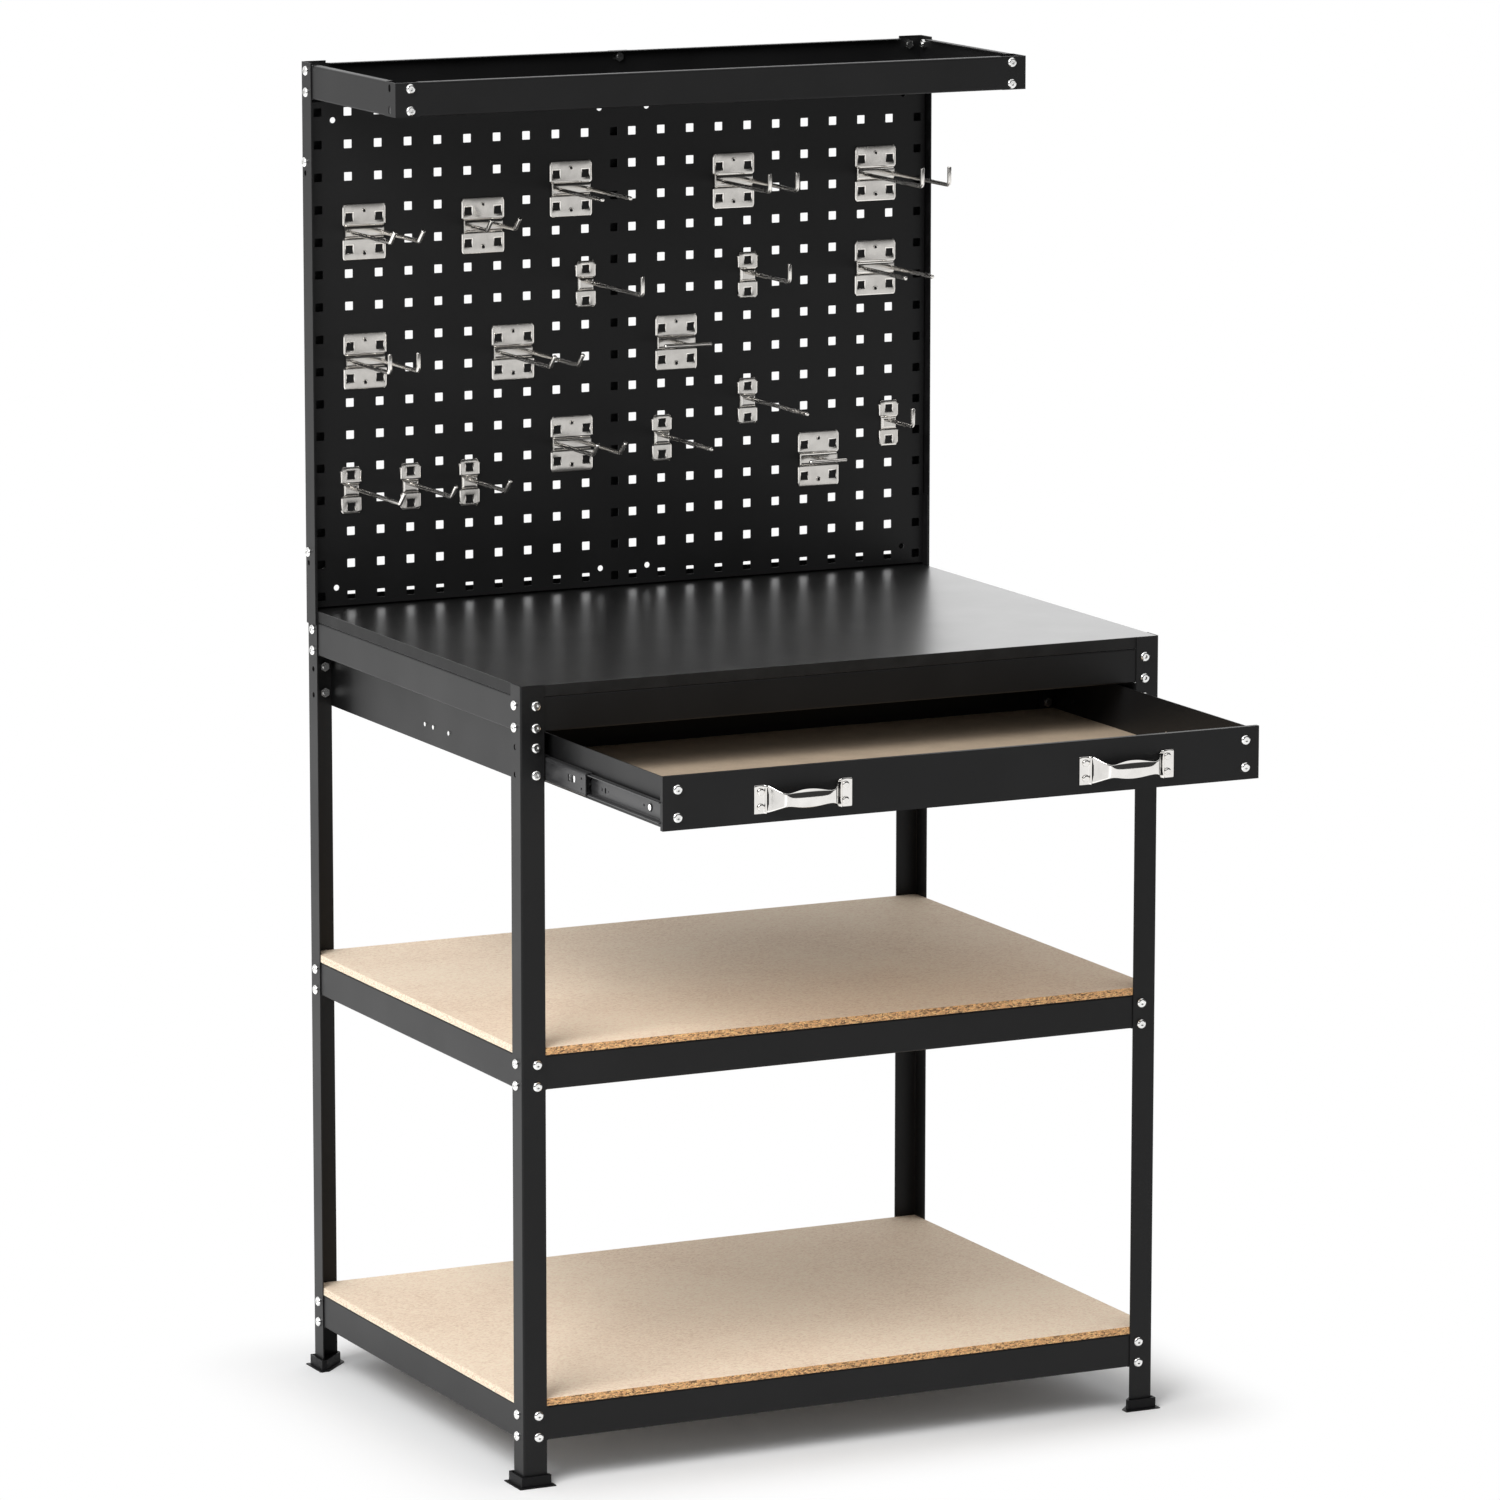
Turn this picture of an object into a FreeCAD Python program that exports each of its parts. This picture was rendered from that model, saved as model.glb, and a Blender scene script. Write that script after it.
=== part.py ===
import FreeCAD, Part
import math
import os

# A steel workbench with two plank shelves, one wide drawer on telescopic slides,
# a pegboard back with hooks and a shallow tray on top. Lengths are millimetres,
# +Z is up, -Y is the drawer side, and the origin lies on the floor under the
# middle of the bench's box with the drawer open at rest.

V = FreeCAD.Vector

# Overall
bench_width = 807.2
bench_depth = 607.5
worktop_height = 918.0
tray_rim_height = 1558.8
drawer_open = 295.3

# Sheet metal
leg_sheet = 1.5
rail_sheet = 1.2
panel_sheet = 1.0
bend_radius = 2.2
corner_clearance = 0.8
touch_gap = 0.3

# Legs and uprights
leg_face_width = 29.0
leg_side_width = 26.5
rear_leg_top = 1005.0
upright_bottom = 901.2
upright_top = 1561.5

# Feet
foot_sole = 3.0
foot_height = 13.0
foot_wall = 4.0
foot_shoulder = 2.0
foot_lip_out = 4.0
foot_lip_height = 1.5

# Rails and boards
rail_height = 39.5
rail_lip = 12.0
rail_end_notch = 28.0
worktop_thickness = 13.5
shelf_board_thickness = 9.0
board_corner = 2.0
middle_rail_bottom = 457.3
lower_rail_bottom = 52.2
backstop_rise = 13.5
ledge_tab_width = 40.0
ledge_tab_pitch = 200.0
ledge_tab_count = 4

# Bolted joints
bolt_diameter = 6.0
bolt_hole_clearance = 0.6
bolt_head_diameter = 11.5
bolt_head_height = 3.3
bolt_socket_width = 4.0
bolt_socket_depth = 2.0
bolt_end = 1.5
nut_width = 10.0
nut_height = 5.0
nut_clearance = 0.3
face_bolt_inset = 18.5
side_bolt_inset = 15.5
rail_bolt_rise = 4.9
rail_bolt_pitch = 25.0

# Slide carriers
carrier_bottom = 800.0
carrier_rail_gap = 1.0
carrier_flange = 19.4
carrier_bolt_low = 816.7
carrier_bolt_pitch = 30.9

# Telescopic slides
slide_height = 30.0
slide_thickness = 12.0
slide_sheet = 1.2
slide_play = 0.35
slide_centre_height = 822.0
slide_outer_length = 450.0
slide_middle_length = 400.0
slide_inner_length = 448.0
slide_front_gap = 5.0
slide_middle_setback = 51.2
slide_flange_depth = 9.0
slide_rivet_diameter = 4.0
slide_rivet_head = 7.0
carrier_rivet_head = 5.0
slide_rivet_head_height = 1.2
carrier_rivet_places = (259.6, 303.3, 326.7)
drawer_rivet_places = (42.0, 200.0, 425.0)
slide_stop_length = 9.0

# Drawer
drawer_leg_gap = 5.4
drawer_height = 60.0
drawer_bottom = 802.5
drawer_depth = 475.0
drawer_front_return = 6.0
drawer_side_drop = 2.5
drawer_lip = 10.0
drawer_flange = 20.0
drawer_bolt_inset = 17.6
drawer_floor_thickness = 4.0

# Handles
handle_length = 119.0
handle_offset = 200.3
handle_drop = 3.9
handle_plate_width = 16.0
handle_plate_height = 32.0
handle_neck_height = 15.0
handle_grip_height = 22.0
handle_neck_offset = 27.0
handle_sheet = 2.0
handle_reach = 20.0
handle_slope = 11.0
handle_bend = 3.0
handle_rivet_diameter = 5.0
handle_rivet_head = 8.0
handle_rivet_head_height = 1.5
handle_rivet_pitch = 17.0

# Pegboards
peg_pitch = 38.0
peg_columns = 11
peg_rows = 16
peg_hole = 10.0
peg_hole_corner = 0.8
peg_seam_margin = 11.8
peg_top_margin = 12.0
peg_first_row_height = 1502.5
peg_front_to_leg_rear = 14.8
peg_round_hole = 7.0
peg_round_shift = 9.6
peg_bolt_inset = 6.5
peg_bolt_levels = (985.9, 1444.9)
peg_spare_hole_drop = 12.8
peg_boss_diameter = 11.0
upright_rear_bolts = (961.0, 986.0)

# Centre bar behind the seam of the pegboards
centre_bar_width = 25.0
centre_bar_bolt_rises = (13.0, 30.0)

# Tray
tray_height = 39.3
tray_depth = 270.3
tray_lip = 10.0
tray_flange = 30.0
tray_bolt_rise = 7.2
tray_slot_width = 6.0
tray_slot_height = 9.5
tray_slot_inset = 16.8

# Pegboard hooks
hook_sheet = 1.5
hook_band_height = 14.0
hook_band_rise = 2.5
hook_drop = 8.4
hook_window = 9.0
hook_window_drop = 9.5
hook_tab_width = 8.0
hook_tab_drop = 6.0
wide_plate_width = 54.5
wide_plate_height = 66.0
wide_plate_corner = 5.0
narrow_plate_width = 25.5
narrow_plate_height = 55.0
narrow_plate_corner = 8.0
hook_notch = 2.5
prong_diameter = 5.0
prong_spread = 36.0
prong_bend = 5.0
prong_tip_rise = 22.0
prong_slant_rise = 14.0
narrow_prong_rise = 3.0

# Each hook: the panel (-1 left, +1 right), its left column counted from the left
# edge of that panel, the row of its upper tabs, the reach of its prongs and the
# way their tips go.
wide_hooks = (
    (-1, 1, 3, 121.0, "slant"),
    (-1, 5, 3, 54.0, "slant"),
    (-1, 8, 2, 130.0, "straight"),
    (-1, 1, 7, 117.0, "up"),
    (-1, 6, 7, 147.0, "slant"),
    (-1, 8, 10, 101.0, "slant"),
    (1, 8, 5, 118.0, "straight"),
    (1, 3, 2, 137.0, "up"),
    (1, 8, 2, 160.0, "up"),
)
narrow_hooks = (
    (-1, 9, 5, 160.0, "up"),
    (-1, 1, 11, 146.0, "slant"),
    (-1, 3, 11, 121.0, "slant"),
    (-1, 5, 11, 106.0, "slant"),
    (1, 1, 10, 139.0, "straight"),
    (1, 4, 5, 115.0, "up"),
    (1, 4, 9, 163.0, "straight"),
    (1, 9, 10, 66.0, "up"),
)

# Crossbar hooks: panel, left column, row, reach and length of the bar
bar_hooks = (
    (1, 1, 7, 35.0, 62.0),
    (1, 6, 11, 28.5, 50.0),
)

# Places worked out from the sizes above
half_width = bench_width / 2
foot_out = foot_wall + foot_lip_out
overall_depth = bench_depth + touch_gap + drawer_open + handle_reach + foot_out
leg_rear = overall_depth / 2 - foot_out
leg_front = leg_rear - bench_depth
inner_half = half_width - leg_sheet
inner_front = leg_front + leg_sheet
inner_rear = leg_rear - leg_sheet
bench_rail_bottom = worktop_height - worktop_thickness - rail_height
rail_bottoms = {
    "bench": bench_rail_bottom,
    "middle": middle_rail_bottom,
    "lower": lower_rail_bottom,
}
backstop_top = worktop_height + backstop_rise
opening_half = half_width - leg_face_width
carrier_top = bench_rail_bottom - carrier_rail_gap
rail_inner_rear = inner_rear - rail_sheet
panel_front = leg_rear - peg_front_to_leg_rear
panel_bolt_y = panel_front + peg_bolt_inset
tray_bottom = tray_rim_height - tray_height
tray_rear = leg_rear
tray_front = tray_rear - tray_depth
tray_bolt_y = tray_rear + leg_sheet - side_bolt_inset
drawer_half = opening_half - drawer_leg_gap
drawer_face_closed = leg_front - touch_gap
drawer_face = drawer_face_closed - drawer_open
drawer_side_face = opening_half - slide_thickness
drawer_top = drawer_bottom + drawer_height
drawer_side_bottom = drawer_bottom + rail_sheet
drawer_side_top = drawer_top - drawer_side_drop
drawer_rear = drawer_face + drawer_depth
hole_diameter = bolt_diameter + bolt_hole_clearance


# Basic solids

def box(x_range, y_range, z_range):
    x0, x1 = sorted(x_range)
    y0, y1 = sorted(y_range)
    z0, z1 = sorted(z_range)
    return Part.makeBox(x1 - x0, y1 - y0, z1 - z0, V(x0, y0, z0))


def rod(start, direction, length, diameter):
    return Part.makeCylinder(diameter / 2, length, start, direction)


def joined(shapes):
    return shapes[0].multiFuse(shapes[1:]).removeSplitter()


def without(shape, tools):
    return shape.cut(Part.makeCompound(tools)) if tools else shape


def outline(points, radii, place):
    """A closed wire through points, with an arc of the given radius at each corner.

    place turns a pair of plane coordinates into a point in space.
    """
    spans = []
    count = len(points)
    for index, (point, radius) in enumerate(zip(points, radii)):
        corner = V(point[0], point[1], 0)
        before = V(*points[index - 1], 0) - corner
        after = V(*points[(index + 1) % count], 0) - corner
        before.normalize()
        after.normalize()
        if radius <= 0:
            spans.append((corner, None, corner))
            continue
        half_angle = before.getAngle(after) / 2
        reach = radius / math.tan(half_angle)
        bisector = before + after
        bisector.normalize()
        middle = corner + bisector * (radius / math.sin(half_angle) - radius)
        spans.append((corner + before * reach, middle, corner + after * reach))
    edges = []
    for index, (start, middle, end) in enumerate(spans):
        if middle is not None:
            edges.append(Part.Arc(*[place(p.x, p.y) for p in (start, middle, end)]).toShape())
        following = spans[(index + 1) % count][0]
        if end.distanceToPoint(following) > 1e-6:
            edges.append(Part.makeLine(place(end.x, end.y), place(following.x, following.y)))
    return Part.Wire(edges)


def prism(points, radii, place, direction):
    return Part.Face(outline(points, radii, place)).extrude(direction)


# Bolted joints: each place is the outer face of the sheets, the way the shank
# goes in, and the grip, which is the thickness of the sheets together.

frame_joints = []
drawer_joints = []


def add_joint(joints, x, y, z, direction, grip):
    joints.append((V(x, y, z), direction, grip))


def joint_holes(joints):
    margin = leg_sheet
    holes = []
    for point, direction, grip in joints:
        start = point - direction * margin
        holes.append(rod(start, direction, grip + 2 * margin, hole_diameter))
    return holes


def drilled(shape, joints):
    """Cuts the holes of those joints whose sheets take in this piece."""
    bounds = shape.BoundBox
    tools = [hole for hole in joint_holes(joints) if bounds.intersect(hole.BoundBox)]
    return without(shape, tools)


def frame_axis(direction):
    """Two unit vectors square to a direction."""
    side = V(0, 0, 1) if abs(direction.z) < 0.5 else V(1, 0, 0)
    return side, direction.cross(side)


def hexagon(centre, direction, width, height):
    side, other = frame_axis(direction)
    radius = width / math.sqrt(3)
    corners = []
    for step in range(7):
        angle = math.radians(60 * step)
        corners.append(centre + side * (radius * math.cos(angle)) + other * (radius * math.sin(angle)))
    return Part.Face(Part.makePolygon(corners)).extrude(direction * height)


def button_bolt(point, direction, grip):
    """A domed socket head outside the sheets, with its shank through them and the nut."""
    side, other = frame_axis(direction)
    crown = bolt_head_diameter * 0.3
    edge = bolt_head_height * 0.35

    def at(radius, depth):
        return point + side * radius + direction * depth

    rim = bolt_head_diameter / 2
    shank = bolt_diameter / 2
    end = grip + nut_height + bolt_end
    bulge = at(rim * 0.86, -bolt_head_height * 0.78)
    edges = [
        Part.makeLine(at(0, -bolt_head_height), at(crown, -bolt_head_height)),
        Part.Arc(at(crown, -bolt_head_height), bulge, at(rim, -edge)).toShape(),
        Part.makeLine(at(rim, -edge), at(rim, 0)),
        Part.makeLine(at(rim, 0), at(shank, 0)),
        Part.makeLine(at(shank, 0), at(shank, end)),
        Part.makeLine(at(shank, end), at(0, end)),
        Part.makeLine(at(0, end), at(0, -bolt_head_height)),
    ]
    body = Part.Face(Part.Wire(edges)).revolve(point, direction, 360)
    socket = hexagon(point - direction * bolt_head_height, direction, bolt_socket_width, bolt_socket_depth)
    return body.cut(socket)


def hex_nut(point, direction, grip):
    seat = point + direction * grip
    blank = hexagon(seat, direction, nut_width, nut_height)
    return blank.cut(rod(seat, direction, nut_height, bolt_diameter + nut_clearance))


def fasteners(joints, maker):
    return Part.makeCompound([maker(*joint) for joint in joints])


# Legs, uprights and feet

def angle_bar(side, end, corner_y, half, widths, sheet, z_range):
    """An angle with its outer corner at x = side * half, its flanges going inwards."""
    width_x, width_y = widths
    points = [(0, 0), (width_x, 0), (width_x, sheet), (sheet, sheet), (sheet, width_y), (0, width_y)]
    radii = [bend_radius, 0, 0, bend_radius - sheet, 0, 0]
    z0, z1 = z_range

    def place(u, v):
        return V(side * (half - u), corner_y - end * v, z0)

    return prism(points, radii, place, V(0, 0, z1 - z0))


def leg(side, end):
    corner_y = leg_front if end < 0 else leg_rear
    top = worktop_height if end < 0 else rear_leg_top
    shape = angle_bar(side, end, corner_y, half_width, (leg_face_width, leg_side_width),
                      leg_sheet, (foot_sole, top))
    spare_y = corner_y - end * side_bolt_inset
    outside = side * (half_width + leg_sheet)
    spares = []
    for level in (carrier_bolt_low, carrier_bolt_low + carrier_bolt_pitch):
        spares.append(rod(V(outside, spare_y, level), V(-side, 0, 0), 3 * leg_sheet, hole_diameter))
    return without(drilled(shape, frame_joints), spares)


def upright(side):
    widths = (leg_face_width + leg_sheet, leg_side_width + leg_sheet)
    shape = angle_bar(side, 1, leg_rear + leg_sheet, half_width + leg_sheet, widths,
                      leg_sheet, (upright_bottom, upright_top))
    outside = side * (half_width + 2 * leg_sheet)
    spares = []
    for level in peg_bolt_levels:
        start = V(outside, panel_bolt_y, level - peg_spare_hole_drop)
        spares.append(rod(start, V(-side, 0, 0), 3 * leg_sheet, hole_diameter))
    return without(drilled(shape, frame_joints), spares)


def foot_layer(side, end, grow, height):
    """A layer of a foot: square at the leg's corner, cut slantwise on the bench's inner side."""
    corner_y = leg_front if end < 0 else leg_rear
    out = foot_wall + grow
    reach = leg_face_width + out
    shoulder = foot_shoulder + grow * (math.sqrt(2) - 1)
    points = [(-out, -out), (reach, -out), (reach, shoulder), (shoulder, reach), (-out, reach)]

    def place(u, v):
        return V(side * (half_width - u), corner_y - end * v, 0)

    return prism(points, [0] * len(points), place, V(0, 0, height))


def foot(side, end):
    corner_y = leg_front if end < 0 else leg_rear
    sleeve = foot_layer(side, end, 0, foot_height)
    lip = foot_layer(side, end, foot_lip_out, foot_lip_height)
    socket = angle_bar(side, end, corner_y, half_width, (leg_face_width, leg_side_width),
                       leg_sheet, (foot_sole, foot_height + foot_sole))
    return joined([sleeve, lip]).cut(socket)


# Rails: channels that open inwards, with the lips left off at both ends

def channel(length, height, lip, sheet, notches, place):
    """A channel with its web's outer face at depth 0; place maps (along, depth, height)."""
    start, end = notches
    inner = max(bend_radius - sheet, 0.1)
    points = [(0, 0), (lip, 0), (lip, sheet), (sheet, sheet),
              (sheet, height - sheet), (lip, height - sheet), (lip, height), (0, height)]
    radii = [bend_radius, 0, 0, inner, inner, 0, 0, bend_radius]
    along = place(length - end, 0, 0) - place(start, 0, 0)
    middle = prism(points, radii, lambda depth, z: place(start, depth, z), along)
    pieces = [middle]
    web = [(0, 0), (sheet, 0), (sheet, height), (0, height)]
    for begin, finish in ((0, start), (length - end, length)):
        if finish > begin:
            stretch = place(finish, 0, 0) - place(begin, 0, 0)
            pieces.append(prism(web, [0] * 4, lambda depth, z: place(begin, depth, z), stretch))
    return joined(pieces)


def cross_rail(end, bottom):
    """Front or rear rail, between the side rails."""
    length = 2 * (inner_half - rail_sheet)
    face = inner_front if end < 0 else inner_rear

    def place(along, depth, z):
        return V(along - length / 2, face - end * depth, bottom + z)

    return channel(length, rail_height, rail_lip, rail_sheet, (rail_end_notch, rail_end_notch), place)


def side_rail(side, bottom):
    """Left or right rail, from the front leg's face to the rear leg's face."""
    start = inner_front + corner_clearance
    length = inner_rear - corner_clearance - start

    def place(along, depth, z):
        return V(side * (inner_half - depth), start + along, bottom + z)

    shape = channel(length, rail_height, rail_lip, rail_sheet, (rail_end_notch, rail_end_notch), place)
    return drilled(shape, frame_joints)


def plain_cross_rail(end, bottom):
    return drilled(cross_rail(end, bottom), frame_joints)


def backstop_rail():
    """The bench's rear rail: a taller plate with a bottom lip and bent ledge tabs."""
    half = inner_half - rail_sheet
    web = box((-half, half), (rail_inner_rear, inner_rear), (bench_rail_bottom, backstop_top))
    lip_half = half - rail_end_notch
    lip_y = (inner_rear - rail_lip, rail_inner_rear)
    lip = box((-lip_half, lip_half), lip_y, (bench_rail_bottom, bench_rail_bottom + rail_sheet))
    pieces = [web, lip]
    ledge = worktop_height - worktop_thickness
    for index in range(ledge_tab_count):
        x = (index - (ledge_tab_count - 1) / 2) * ledge_tab_pitch
        tab_x = (x - ledge_tab_width / 2, x + ledge_tab_width / 2)
        pieces.append(box(tab_x, lip_y, (ledge - rail_sheet, ledge)))
    return drilled(joined(pieces), frame_joints)


def board(bottom, thickness, rear):
    """A plank on top of the rails, its corners eased to clear the bends of the legs."""
    points = [(-inner_half, inner_front), (inner_half, inner_front), (inner_half, rear), (-inner_half, rear)]
    return prism(points, [board_corner] * 4, lambda x, y: V(x, y, bottom), V(0, 0, thickness))


def rail_joints():
    for level in rail_bottoms.values():
        for rise in (rail_bolt_rise, rail_bolt_rise + rail_bolt_pitch):
            z = level + rise
            for side in (-1, 1):
                for end, face in ((-1, leg_front), (1, leg_rear)):
                    x = side * (half_width - face_bolt_inset)
                    add_joint(frame_joints, x, face, z, V(0, -end, 0), leg_sheet + rail_sheet)
                    y = face - end * side_bolt_inset
                    add_joint(frame_joints, side * half_width, y, z, V(-side, 0, 0), leg_sheet + rail_sheet)


# Slide carriers: plates along both sides with their ends bent outwards

def carrier(side):
    web = box((side * opening_half, side * (opening_half + rail_sheet)),
              (inner_front, inner_rear), (carrier_bottom, carrier_top))
    flange_x = (side * opening_half, side * (opening_half + carrier_flange))
    front = box(flange_x, (inner_front, inner_front + rail_sheet), (carrier_bottom, carrier_top))
    rear = box(flange_x, (rail_inner_rear, inner_rear), (carrier_bottom, carrier_top))
    shape = drilled(joined([web, front, rear]), frame_joints)
    return without(shape, slide_rivet_holes(side, opening_half, carrier_rivets()))


def carrier_joints():
    for z in (carrier_bolt_low, carrier_bolt_low + carrier_bolt_pitch):
        for side in (-1, 1):
            x = side * (half_width - face_bolt_inset)
            add_joint(frame_joints, x, leg_front, z, V(0, 1, 0), leg_sheet + rail_sheet)
            add_joint(frame_joints, x, leg_rear, z, V(0, -1, 0), leg_sheet + rail_sheet)


# Telescopic slides: three nested channels, the outer one on the carrier and the
# inner one on the drawer

def carrier_rivets():
    return [leg_front + place for place in carrier_rivet_places]


def drawer_rivets():
    return [drawer_face + place for place in drawer_rivet_places]


def slide_rivet_holes(side, face, places):
    reach = 3 * slide_sheet
    holes = []
    for y in places:
        start = V(side * (face + reach), y, slide_centre_height)
        holes.append(rod(start, V(-side, 0, 0), 2 * reach, slide_rivet_diameter))
    return holes


def slide_member(side, web_x, tip_x, height, y_range):
    """A channel whose web lies at web_x and whose flanges end at tip_x, both from the centre."""
    step = math.copysign(slide_sheet, tip_x - web_x)
    low = slide_centre_height - height / 2
    high = slide_centre_height + height / 2
    web = box((side * web_x, side * (web_x + step)), y_range, (low, high))
    flange_x = (side * web_x, side * tip_x)
    bottom = box(flange_x, y_range, (low, low + slide_sheet))
    top = box(flange_x, y_range, (high - slide_sheet, high))
    return joined([web, bottom, top])


slide_outer_front = inner_front + rail_sheet + slide_front_gap
slide_middle_front = leg_front + slide_middle_setback - drawer_open / 2
slide_inner_front = drawer_face + drawer_front_return + touch_gap
middle_member_height = slide_height - 2 * (slide_sheet + slide_play)
inner_member_height = middle_member_height - 2 * (slide_sheet + slide_play)
middle_web_x = opening_half - slide_sheet - slide_play
inner_web_x = drawer_side_face


def slide_outer(side):
    y_range = (slide_outer_front, slide_outer_front + slide_outer_length)
    shape = slide_member(side, opening_half, opening_half - slide_flange_depth, slide_height, y_range)
    return without(shape, slide_rivet_holes(side, opening_half, carrier_rivets()))


def slide_middle(side):
    y_range = (slide_middle_front, slide_middle_front + slide_middle_length)
    return slide_member(side, middle_web_x, middle_web_x - slide_flange_depth,
                        middle_member_height, y_range)


def slide_inner(side):
    y_range = (slide_inner_front, slide_inner_front + slide_inner_length)
    tip = middle_web_x - slide_sheet - slide_play
    shape = slide_member(side, inner_web_x, tip, inner_member_height, y_range)
    return without(shape, slide_rivet_holes(side, inner_web_x, drawer_rivets()))


def slide_stop(side):
    """The plastic end piece on the middle member's front edge, clear of the inner member."""
    half = middle_member_height / 2
    y_range = (slide_middle_front - slide_stop_length, slide_middle_front)
    x_range = (side * middle_web_x, side * (middle_web_x - slide_flange_depth))
    block = box(x_range, y_range, (slide_centre_height - half, slide_centre_height + half))
    passage_half = inner_member_height / 2 + slide_play
    passage_x = (side * (middle_web_x - slide_sheet), side * (middle_web_x - 2 * slide_flange_depth))
    passage = box(passage_x, (y_range[0] - 1, y_range[1] + 1),
                  (slide_centre_height - passage_half, slide_centre_height + passage_half))
    return block.cut(passage)


def flat_rivet(x, y, direction, grip, head_diameter):
    """A rivet with its head at x and its shank going along direction through the grip."""
    head_start = V(x, y, slide_centre_height) - direction * slide_rivet_head_height
    head = rod(head_start, direction, slide_rivet_head_height, head_diameter)
    shank = rod(V(x, y, slide_centre_height), direction, grip, slide_rivet_diameter)
    return head.fuse(shank)


def carrier_rivet_set():
    shapes = []
    for side in (-1, 1):
        for y in carrier_rivets():
            x = side * (opening_half + rail_sheet)
            shapes.append(flat_rivet(x, y, V(-side, 0, 0), rail_sheet + slide_sheet, carrier_rivet_head))
    return Part.makeCompound(shapes)


def drawer_rivet_set():
    shapes = []
    for side in (-1, 1):
        for y in drawer_rivets():
            x = side * (inner_web_x + slide_sheet)
            shapes.append(flat_rivet(x, y, V(-side, 0, 0), rail_sheet + slide_sheet, slide_rivet_head))
    return Part.makeCompound(shapes)


# Drawer

def drawer_front():
    y0 = drawer_face
    y1 = drawer_face + rail_sheet
    z_range = (drawer_bottom, drawer_top)
    plate = box((-drawer_half, drawer_half), (y0, y1), z_range)
    back = y0 + drawer_front_return
    pieces = [plate]
    for side in (-1, 1):
        wall_x = (side * drawer_half, side * (drawer_half - rail_sheet))
        pieces.append(box(wall_x, (y0, back), z_range))
    for z in (drawer_bottom, drawer_top - rail_sheet):
        pieces.append(box((-drawer_half, drawer_half), (y0, back), (z, z + rail_sheet)))
    shape = drilled(joined(pieces), drawer_joints)
    return without(shape, handle_rivet_holes())


def drawer_side(side):
    front = drawer_face + rail_sheet
    rear = drawer_rear - rail_sheet
    outer = side * drawer_side_face
    inner = side * (drawer_side_face - rail_sheet)
    z_range = (drawer_side_bottom, drawer_side_top)
    web = box((outer, inner), (front, rear), z_range)
    lip_x = (outer, side * (drawer_side_face - drawer_lip))
    lip = box(lip_x, (front, rear), (drawer_side_bottom, drawer_side_bottom + rail_sheet))
    flange_x = (outer, side * (drawer_side_face - drawer_flange))
    pieces = [web, lip]
    for y in (front, rear - rail_sheet):
        pieces.append(box(flange_x, (y, y + rail_sheet), z_range))
    shape = drilled(joined(pieces), drawer_joints)
    return without(shape, slide_rivet_holes(side, drawer_side_face, drawer_rivets()))


def drawer_back():
    y_range = (drawer_rear - rail_sheet, drawer_rear)
    plate = box((-drawer_side_face, drawer_side_face), y_range, (drawer_side_bottom, drawer_side_top))
    return drilled(plate, drawer_joints)


def drawer_floor():
    half = drawer_side_face - rail_sheet
    front = drawer_face + drawer_front_return + touch_gap
    rear = drawer_rear - 2 * rail_sheet
    bottom = drawer_side_bottom + rail_sheet
    return box((-half, half), (front, rear), (bottom, bottom + drawer_floor_thickness))


def drawer_bolt_joints():
    for z in (carrier_bolt_low, carrier_bolt_low + carrier_bolt_pitch):
        for side in (-1, 1):
            x = side * (drawer_half - drawer_bolt_inset)
            add_joint(drawer_joints, x, drawer_face, z, V(0, 1, 0), 2 * rail_sheet)
            add_joint(drawer_joints, x, drawer_rear, z, V(0, -1, 0), 2 * rail_sheet)


# Handles: a strap bent outwards in plan and waisted in front view

handle_centre_height = drawer_bottom + drawer_height / 2 - handle_drop


def handle(side):
    centre = side * handle_offset
    half = handle_length / 2
    foot_end = half - handle_plate_width
    crest = foot_end - handle_slope
    t = handle_sheet
    reach = handle_reach
    plan = [(-half, 0), (-foot_end, 0), (-crest, reach - t), (crest, reach - t), (foot_end, 0), (half, 0),
            (half, t), (foot_end - t / 2, t), (crest - t / 2, reach), (t / 2 - crest, reach),
            (t / 2 - foot_end, t), (-half, t)]
    inner = handle_bend
    outer = inner + t
    radii = [0, inner, outer, outer, inner, 0, 0, outer, inner, inner, outer, 0]
    tall = handle_plate_height

    def plan_place(u, v):
        return V(centre + u, drawer_face - v, handle_centre_height - tall / 2)

    strap = prism(plan, radii, plan_place, V(0, 0, tall))
    return strap.common(handle_face_blank(centre, half, foot_end))


def handle_face_blank(centre, half, foot_end):
    """The strap's outline in front view, as a thick blank."""
    plate = handle_plate_height / 2
    neck = handle_neck_height / 2
    grip = handle_grip_height / 2
    y = drawer_face + 1

    def at(u, w):
        return V(centre + u, y, handle_centre_height + w)

    edges = []
    for sign in (1, -1):
        corners = [
            at(-sign * half, sign * plate),
            at(-sign * foot_end, sign * plate),
            at(-sign * handle_neck_offset, sign * neck),
            at(0, sign * grip),
            at(sign * handle_neck_offset, sign * neck),
            at(sign * foot_end, sign * plate),
            at(sign * half, sign * plate),
        ]
        edges.append(Part.makeLine(corners[0], corners[1]))
        edges.append(Part.makeLine(corners[1], corners[2]))
        edges.append(Part.Arc(corners[2], corners[3], corners[4]).toShape())
        edges.append(Part.makeLine(corners[4], corners[5]))
        edges.append(Part.makeLine(corners[5], corners[6]))
        edges.append(Part.makeLine(corners[6], at(sign * half, -sign * plate)))
    blank = Part.Face(Part.Wire(edges))
    return blank.extrude(V(0, -handle_reach - 2, 0))


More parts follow.
